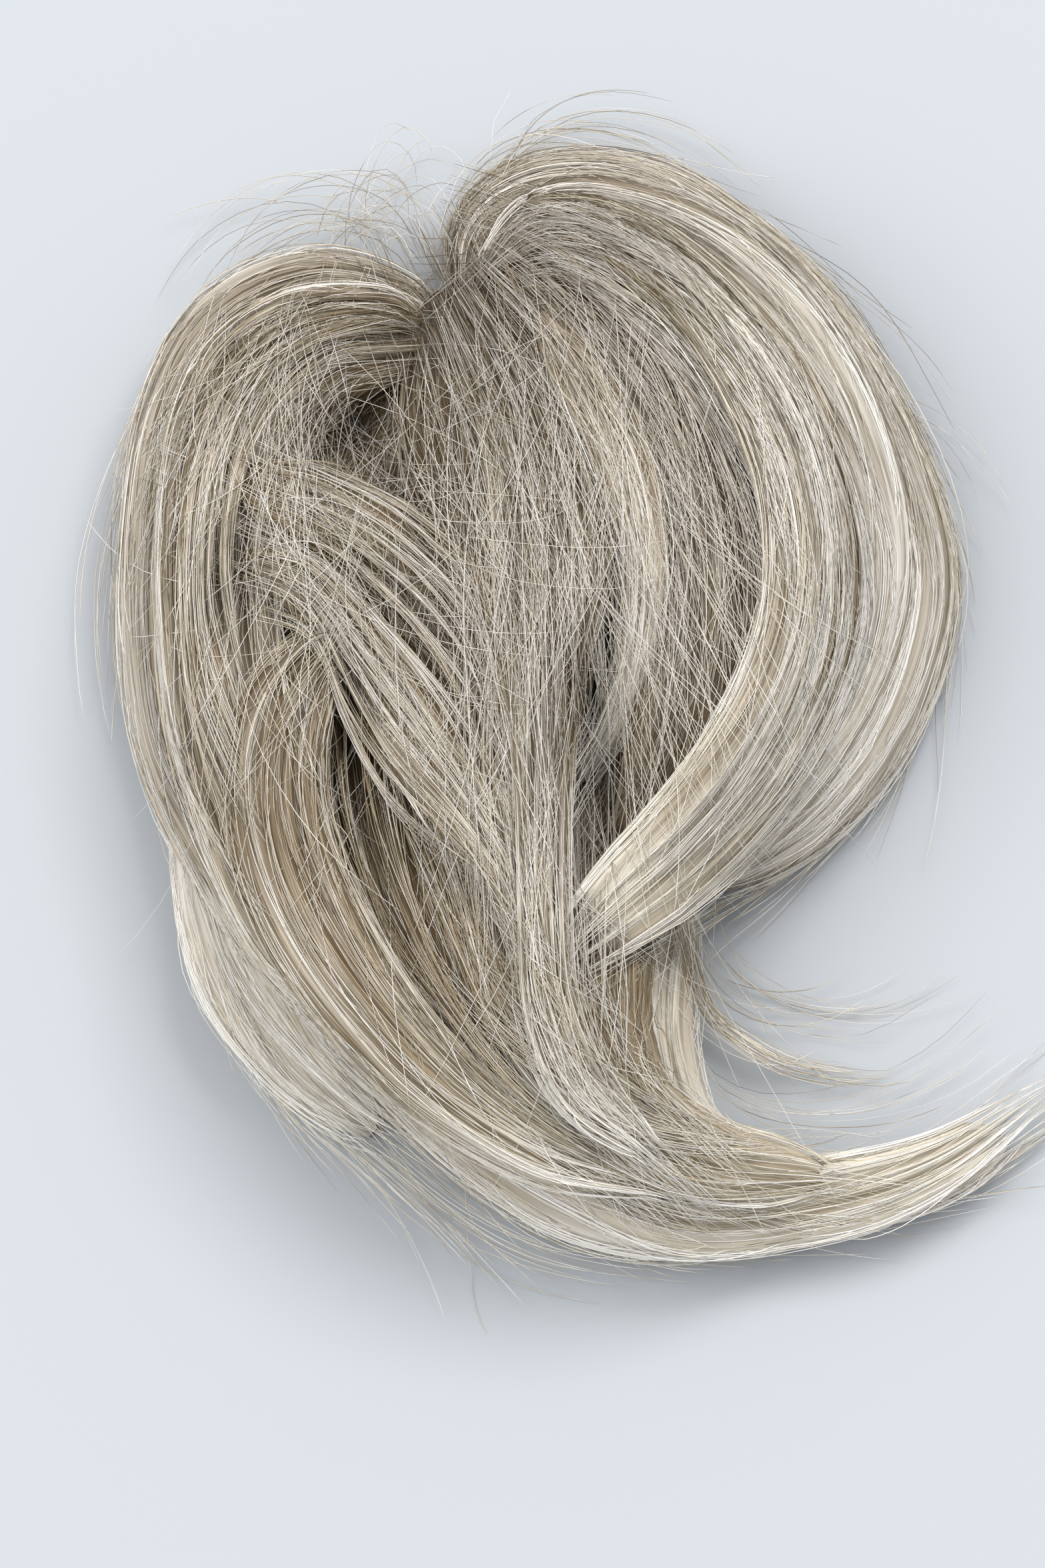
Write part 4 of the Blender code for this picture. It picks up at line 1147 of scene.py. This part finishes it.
# the pad's profile goes out along the underside, round the rim as a half circle and back over the top,
# turned to an oval; rows and stitches are cosines of y and x, inwards from both faces
def makeWeftBase():
    low, high = (np.array(corner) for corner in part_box("weft_base"))
    half, thick = (high - low)[:2] / 2, (high - low)[2]
    rim = weft["rimShare"]
    flat = np.linspace(0.03, 1 - rim, 30)
    bend = np.linspace(-math.pi / 2, math.pi / 2, 12)[1:-1]
    reach = np.concatenate((flat, 1 - rim + rim * np.cos(bend), flat[::-1]))[:, None]
    rise = np.concatenate((np.zeros(30), 0.5 + 0.5 * np.sin(bend), np.ones(30)))[:, None]
    turn = np.linspace(0, 2 * math.pi, 120, endpoint=False)[None, :]
    x, y = reach * half[0] * np.cos(turn), reach * half[1] * np.sin(turn)
    row = 0.5 - 0.5 * np.cos(2 * math.pi * weft["rows"] * y / (2 * half[1]))
    stitch = 0.6 + 0.4 * np.cos(2 * math.pi * x / weft["stitchStep"])
    inward = weft["rowHeight"] * (1 - row * stitch) * (reach < 1 - rim)
    z = rise * thick + inward * np.where(rise < 0.5, 1, -1)
    rings = np.stack((x, y, z), axis=-1) + np.append((low[:2] + high[:2]) / 2, low[2])
    values = carried(x.shape, x * 1000, y * 1000, rise, 0.0, 0.0)
    addPiece("WeftBase", [shell(rings, values)], "base", ["weft_base"], makeWeftPaint())


makeWeftBase()
print("weft base sewn")


# single hairs that cross the locks. From and to are the corners of the patch they start in, heading
# is in degrees from +across towards +up, bend is degrees turned over the length
strays = {
    "crown": {"count": 170, "from": (0.33, 0.74), "to": (0.60, 0.88), "heading": -80, "spread": 17,
              "length": (0.045, 0.105), "bend": (-30, 35), "lift": 0.0022},
    "veil": {"count": 130, "from": (0.36, 0.50), "to": (0.66, 0.78), "heading": -86, "spread": 16,
             "length": (0.035, 0.080), "bend": (-40, 30), "lift": 0.0020},
    "left": {"count": 120, "from": (0.12, 0.58), "to": (0.33, 0.84), "heading": -100, "spread": 32,
             "length": (0.030, 0.075), "bend": (-60, 100), "lift": 0.0030},
    "leftTop": {"count": 110, "from": (0.09, 0.74), "to": (0.25, 0.87), "heading": -112, "spread": 22,
                "length": (0.025, 0.055), "bend": (-30, 60), "lift": 0.0030},
    "pocket": {"count": 90, "from": (0.18, 0.55), "to": (0.36, 0.80), "heading": -40, "spread": 55,
               "length": (0.020, 0.050), "bend": (-90, 90), "lift": 0.0016},
    "right": {"count": 120, "from": (0.42, 0.74), "to": (0.70, 0.93), "heading": -50, "spread": 16,
              "length": (0.040, 0.100), "bend": (-75, -10), "lift": 0.0022},
    "lower": {"count": 80, "from": (0.25, 0.25), "to": (0.60, 0.55), "heading": -75, "spread": 18,
              "length": (0.030, 0.060), "bend": (-30, 50), "lift": 0.0016},
}


# a hair's path turns evenly: heading plus bend times the share, stepped along with equal steps; it lies
# on the stack, raised in the middle by its lift times the sine of the share
def strayPaths(dice, group):
    count = group["count"]
    low, high = np.array(group["from"]), np.array(group["to"])
    start = dice.uniform(low, high, (count, 2)) * spreadSize
    length = dice.uniform(*group["length"], (count, 1))
    heading = group["heading"] + group["spread"] * dice.normal(0, 1, (count, 1))
    bend = dice.uniform(*group["bend"], (count, 1))
    bend = bend + 12 * waver(dice, count, np.broadcast_to(even, (count, len(even))), 1.0)
    angle = np.radians(heading + bend * even)
    steps = np.stack((np.cos(angle), np.sin(angle)), axis=-1) * (length / comb["segments"])[..., None]
    spot = start[:, None] + np.cumsum(steps, axis=1) - steps
    lift = group["lift"] * dice.uniform(0.1, 1.0, (count, 1)) * np.sin(math.pi * (0.1 + 0.8 * even))
    return spot, drapedHeight(topField, spot) + comb["gap"] + lift


# loose hairs along the places, at the given heights but no lower than leastHeight; those that would
# leave the solids' box by more than boxEdge are left out
def freeTubes(dice, spot, height, tint, radius):
    path = toTable(spot, np.maximum(height, leastHeight))
    low, high = (np.array(corner[:2]) for corner in cadBox)
    path = path[((path[..., :2] > low - boxEdge) & (path[..., :2] < high + boxEdge)).all(axis=(1, 2))]
    count, points = path.shape[:2]
    thick = comb["radius"] * radius * dice.uniform(0.7, 1.2, (count, 1))
    lane, tint = dice.uniform(0, 90, (count, 1)), strandTints(dice, count, tint)
    run, along = np.linspace(0, 60, points), np.linspace(0.35, 0.8, points)
    return tubes(path, thick, carried((count, points), lane, run, along, 0.0, tint))


leastHeight = 0.0002   # of a loose hair over the table
boxEdge = 0.012
bridgeReach = 5   # cells
topField = softened(stack)
bridgedField = softened(bridged(veilField, bridgeReach))
coveringField = softened(bridged(topField, bridgeReach))
dice = np.random.default_rng(300)
parts = []
for group in strays.values():
    spot, height = strayPaths(dice, group)
    kept = (stackHeight(topField, spot) < 0.002).mean(axis=1) < 0.08   # drops those that leave the pile
    parts.append(freeTubes(dice, spot[kept], height[kept], 0.35, 0.7))
addPiece("StrayHairs", parts, "ash")


# loose sheets of hair between the middle lines of two locks: how many hairs in how many bundles, the
# part of the locks' length that they cover, how far beyond the two lines they spread (0 and 1 are
# the lines), and tint. sheetsOver is the share of their hairs that lie over the pale curl
sheetsOver = 0.25
sheets = {
    "crownSheet": {"between": ("centre_fall", "swoop"), "count": 560, "bundles": 30, "part": (0.0, 0.60),
                   "spread": (-0.25, 1.1), "tint": 0.42, "slot": "ash"},
    "channelSheet": {"between": ("crown_veil", "right_middle_roll"), "count": 300, "bundles": 15,
                     "part": (0.05, 0.62), "spread": (0.25, 0.95), "tint": 0.35, "slot": "grey"},
    "sideSheet": {"between": ("swoop", "right_outer_roll"), "count": 330, "bundles": 16,
                  "part": (0.02, 0.90), "spread": (-0.3, 0.9), "tint": 0.25, "slot": "grey"},
    "leftSheet": {"between": ("pocket_roll", "left_roll"), "count": 280, "bundles": 14,
                  "part": (0.0, 0.55), "spread": (0.0, 0.95), "tint": 0.15, "slot": "beige"},
    "crossSheet": {"between": ("crossing_lock", "lower_crossing_lock"), "count": 240, "bundles": 18,
                   "part": (0.0, 0.90), "spread": (-0.6, 1.7), "tint": 0.60, "slot": "beige"},
    "fallSheet": {"between": ("left_loop", "inner_fall"), "count": 240, "bundles": 14,
                  "part": (0.1, 0.95), "spread": (0.0, 1.2), "tint": 0.10, "slot": "brown"},
    "lowSheet": {"between": ("left_inner_roll", "centre_fall"), "count": 180, "bundles": 10,
                 "part": (0.55, 0.95), "spread": (0.0, 0.9), "tint": 0.15, "slot": "beige"},
}


# a sheet's hair runs between the two middle lines, one * (1 - mix) + other * mix. A bundle's mix
# wavers along the whole length, and its hairs stand a bell's width from it and from one another; a
# hair covers 0.4 to 0.8 of the locks' length and lies on the stack
def sheetPart(dice, sheet):
    one, other = (courses[name] for name in sheet["between"])
    count, bundles = sheet["count"], sheet["bundles"]
    low, high = sheet["part"]
    part = dice.uniform(0.40, 0.80, (count, 1)) * (high - low)
    first = low + dice.uniform(-0.05, 1.0, (count, 1)) * (high - low - part)
    share = np.clip(first + part * even, 0.0, 1.0)
    centres = np.linspace(*sheet["spread"], bundles) + dice.normal(0, 0.4, bundles) / bundles
    phase, waves = dice.uniform(0, 2 * math.pi, bundles), dice.uniform(0.5, 1.1, bundles)
    number = dice.integers(0, bundles, count)
    mix = centres[number][:, None] + dice.normal(0, 0.30, (count, 1)) / bundles
    sway = np.sin(2 * math.pi * waves[number][:, None] * share + phase[number][:, None])
    mix = mix + 0.05 * sway + 0.025 * waver(dice, count, share, 0.8)
    mix = mix + dice.normal(0, 0.07, (count, 1)) * (even - 0.5)
    spot = layAt(one, share)[0] * (1 - mix[..., None]) + layAt(other, share)[0] * mix[..., None]
    layer = dice.uniform(0, 1, (count, 1)) ** 2
    covering = dice.uniform(0, 1, (count, 1)) < sheetsOver
    height = np.where(covering, drapedHeight(coveringField, spot, 4), drapedHeight(bridgedField, spot, 4))
    height = height + comb["gap"] + comb["sheetHeight"] * layer * np.sin(math.pi * (0.08 + 0.84 * even))
    path = toTable(spot, np.maximum(height, leastHeight))
    tint = strandTints(dice, count, sheet["tint"]) + dice.normal(0, 0.35, bundles)[number][:, None]
    shade = np.clip(shading["sheetLow"] * (1 - layer) + shading["sheetDeep"] * deepShade(path, layer), 0, 1)
    lane, run = mix[:, :1] * 25 + 7, share * one["length"] * 1000
    values = carried(share.shape, lane, run, 0.1 + 0.85 * share, shade, tint)
    return tubes(path, comb["radius"] * dice.uniform(0.6, 1.0, (count, 1)), values)


for number, (name, sheet) in enumerate(sheets.items()):
    part = sheetPart(np.random.default_rng(500 + number), sheet)
    addPiece(name[0].upper() + name[1:], [part], sheet["slot"])
print("sheets laid,", sum(counts), "triangles so far")


# hairs drawn one by one or in fans: how many there are, how far they spread at the root and at the tip
# as shares of the width, their tint, and rows of across and up in thousandths and height in millimetres
flyaways = {
    "wisp": {
        "count": 46, "root": 0.006, "tip": 0.014, "tint": -0.2,
        "rows": (
            (600, 345, 6), (618, 275, 4), (635, 237, 2), (669, 214, 1.2), (710, 195, 1),
            (758, 185, 1.5), (808, 182, 2.5), (850, 188, 3.5),
        ),
    },
    "fan": {
        "count": 16, "root": 0.02, "tip": 0.075, "tint": -0.1,
        "rows": ((605, 330, 6), (635, 275, 4), (680, 240, 3), (740, 222, 3), (810, 225, 4), (880, 255, 5)),
    },
    "lowFan": {
        "count": 12, "root": 0.014, "tip": 0.05, "tint": 0.0,
        "rows": ((610, 230, 5), (635, 180, 4), (700, 150, 3), (790, 148, 3), (880, 175, 4), (965, 230, 6)),
    },
    "farLeft": {
        "count": 3, "root": 0.03, "tip": 0.06, "tint": -0.3,
        "rows": ((300, 860, 8), (210, 900, 9), (130, 892, 8), (60, 850, 6), (10, 790, 4)),
    },
    "leftArcs": {
        "count": 26, "root": 0.04, "tip": 0.045, "tint": -0.2,
        "rows": ((340, 850, 8), (290, 905, 10), (215, 915, 10), (140, 880, 8), (90, 810, 6)),
    },
    "notchLoop": {
        "count": 7, "root": 0.03, "tip": 0.04, "tint": -0.3,
        "rows": ((280, 870, 8), (278, 930, 12), (310, 975, 14), (345, 960, 12), (350, 900, 8)),
    },
    "notchCurls": {
        "count": 20, "root": 0.04, "tip": 0.045, "tint": -0.1,
        "rows": ((250, 850, 9), (270, 910, 11), (320, 930, 11), (350, 890, 9), (345, 830, 9)),
    },
    "topArcs": {
        "count": 30, "root": 0.03, "tip": 0.04, "tint": -0.1,
        "rows": ((370, 880, 8), (410, 955, 10), (490, 985, 10), (590, 965, 9), (680, 905, 8)),
    },
    "upright": {
        "count": 2, "root": 0.03, "tip": 0.04, "tint": -0.3,
        "rows": ((400, 960, 8), (400, 1000, 10), (420, 1040, 12)),
    },
    "rightArcs": {
        "count": 22, "root": 0.03, "tip": 0.05, "tint": 0.0,
        "rows": ((660, 890, 8), (760, 830, 9), (830, 740, 8), (880, 640, 6), (900, 560, 4)),
    },
    "rightLoop": {
        "count": 4, "root": 0.012, "tip": 0.025, "tint": 0.2,
        "rows": ((790, 760, 10), (870, 730, 8), (925, 680, 5), (945, 620, 3)),
    },
    "leftEdge": {
        "count": 16, "root": 0.03, "tip": 0.03, "tint": -0.1,
        "rows": ((130, 800, 8), (50, 720, 8), (10, 620, 6), (8, 520, 4), (30, 440, 3)),
    },
    "bottomHair": {
        "count": 1, "root": 0.0, "tip": 0.0, "tint": -0.4,
        "rows": ((380, 110, 4), (384, 40, 0.5), (392, -12, 0.3), (404, -34, 0.3)),
    },
    "lowerEdge": {
        "count": 16, "root": 0.02, "tip": 0.03, "tint": 0.1,
        "rows": ((250, 170, 4), (330, 90, 2), (430, 35, 1), (540, 12, 0.5), (650, 10, 0.5)),
    },
    "bluntEnds": {
        "count": 26, "root": 0.02, "tip": 0.022, "tint": 0.7,
        "rows": ((120, 300, 4), (155, 225, 3), (200, 168, 1), (262, 120, 0.4)),
    },
    "bluntTips": {
        "count": 26, "root": 0.025, "tip": 0.025, "tint": 0.6,
        "rows": ((160, 280, 4), (215, 210, 3), (275, 162, 1), (350, 122, 0.4)),
    },
}


# each hair follows its rows, moved sideways by a chance part of the root and tip spread, wavers
# a little, and covers a chance part of the way
def flyawayPaths(dice, fan):
    fine = 80
    rows = smoothRows(np.array(fan["rows"]) / (1000, 1000, 1), fine)
    count = fan["count"]
    whole = count == 1
    start = dice.uniform(0.0, 0.0 if whole else 0.25, (count, 1))
    end = dice.uniform(1.0 if whole else 0.55, 1.0, (count, 1))
    share = start + (end - start) * even
    columns = [np.interp(share, np.linspace(0, 1, fine), column) for column in rows.T]
    wide = fan["root"] + (fan["tip"] - fan["root"]) * share
    off = dice.normal(0, 0.6, (count, 2, 1)) * wide[:, None] * pile["width"]
    wave = comb["flyWave"] * np.stack([waver(dice, count, share, 0.9) for _ in range(2)], axis=1)
    spot = np.stack(columns[:2], axis=-1) * spreadSize + (off + (not whole) * wave).transpose(0, 2, 1)
    raised = columns[2] / 1000 * dice.uniform(0.2, 1.1, (count, 1))
    return spot, np.maximum(drapedHeight(topField, spot) + leastHeight, raised)


# short hairs that leave a lock's edge: how many on each hand (1 is the left of its way), from which
# part of its length, and how far they stand off at their tips in millimetres
edgeHairs = {
    "left_roll": (-1, 110, (0.10, 0.95), 3.0),
    "right_outer_roll": (1, 140, (0.05, 0.92), 4.0),
    "tail_lock": (-1, 40, (0.20, 0.90), 3.0),
    "blunt_lock": (-1, 40, (0.30, 0.90), 4.0),
    "pocket_roll": (1, 30, (0.05, 0.60), 3.0),
}


# an edge hair keeps beside the lock's middle line at 0.9 of its half width, plus its stand-off times
# the square of the step, and comes down from the pile to the table
def edgePaths(dice, course, hand, count, part, standOff):
    first = dice.uniform(*part, (count, 1))
    share = first + dice.uniform(0.02, 0.045, (count, 1)) / course["length"] * even
    middle, side, half, _, _ = layAt(course, share)
    off = 0.90 * half[:, :1] + dice.gamma(1.4, 0.45, (count, 1)) * standOff / 1000 * even**2
    off = off + comb["edgeWave"] * waver(dice, count, np.broadcast_to(even, share.shape), 0.8)
    spot = middle + (hand * off)[..., None] * side
    raised = dice.uniform(0.0, comb["edgeRaise"], (count, 1)) * (0.4 + 0.6 * even)
    return spot, np.maximum(drapedHeight(topField, spot) + leastHeight, raised)


dice = np.random.default_rng(400)
parts = []
for fan in flyaways.values():
    spot, height = flyawayPaths(dice, fan)
    parts.append(freeTubes(dice, spot, height, fan["tint"], 0.8))
for name, (hand, count, part, standOff) in edgeHairs.items():
    spot, height = edgePaths(dice, courses[name], hand, count, part, standOff)
    parts.append(freeTubes(dice, spot, height, 0.0, 0.75))
addPiece("Flyaways", parts, "beige")
print("loose hair laid,", sum(counts), "triangles so far")


# pale surroundings; the camera's picture is centred on shares of the spread and so many metres high
studio = {
    "floor": (0.418, 0.442, 0.468, 1.0),
    "floorHalf": 3.0,
    "sky": (0.93, 0.955, 1.0, 1.0),
    "skyStrength": 0.91,
    "cameraDistance": 3.0,
    "pictureCentre": (0.4403, 0.4284),
    "pictureHeight": 0.2587,
    # place, size, strength and colour of each lamp
    "lamps": (
        ((0.60, 0.85, 2.10), 1.3, 37.0, (1.0, 0.975, 0.94)),
        ((-1.20, -0.40, 1.80), 1.8, 25.0, (1.0, 0.985, 0.96)),
    ),
}


# the world, the floor, and lamps that point at the middle
def makeStudio():
    world = bpy.data.worlds.new("pale room")
    bpy.context.scene.world = world
    world.use_nodes = True
    sky = world.node_tree.nodes["Background"].inputs
    sky["Color"].default_value = studio["sky"]
    sky["Strength"].default_value = studio["skyStrength"]
    mesh = bpy.data.meshes.new("floor")
    wide = studio["floorHalf"]
    corners = ((-wide, -wide, 0), (wide, -wide, 0), (wide, wide, 0), (-wide, wide, 0))
    mesh.from_pydata(corners, [], [(0, 1, 2, 3)])
    floor = bpy.data.objects.new("floor", mesh)
    bpy.context.scene.collection.objects.link(floor)
    paint = bpy.data.materials.new("pale board")
    paint.use_nodes = True
    shader = paint.node_tree.nodes["Principled BSDF"].inputs
    shader["Base Color"].default_value = studio["floor"]
    shader["Roughness"].default_value = 0.9
    mesh.materials.append(paint)
    bpy.context.scene.view_settings.view_transform = "Standard"
    for number, (place, size, strength, colour) in enumerate(studio["lamps"]):
        light = bpy.data.lights.new(f"lamp {number}", "AREA")
        light.shape = "DISK"
        light.size = size
        light.energy = strength
        light.color = colour
        lamp = bpy.data.objects.new(f"lamp {number}", light)
        bpy.context.scene.collection.objects.link(lamp)
        lamp.location = place
        lamp.rotation_euler = (-Vector(place)).to_track_quat("-Z", "Y").to_euler()


# the camera looks down the line of sight at the middle of the photograph
def makeCamera():
    view = bpy.data.cameras.new("camera")
    view.sensor_fit = "VERTICAL"
    view.sensor_height = 36.0
    view.lens = view.sensor_height * studio["cameraDistance"] / studio["pictureHeight"]
    view.clip_end = 10.0
    camera = bpy.data.objects.new("camera", view)
    bpy.context.scene.collection.objects.link(camera)
    aim = toTable(np.array(studio["pictureCentre"]) * spreadSize, np.array(0.0))
    angle = pile["sightAngle"]
    back = np.array((0.0, -math.cos(angle), math.sin(angle)))
    camera.location = aim + back * studio["cameraDistance"]
    camera.rotation_euler = (math.pi / 2 - angle, 0.0, 0.0)
    bpy.context.scene.camera = camera


makeStudio()
makeCamera()
print("studio and camera set,", sum(counts), "triangles in all")
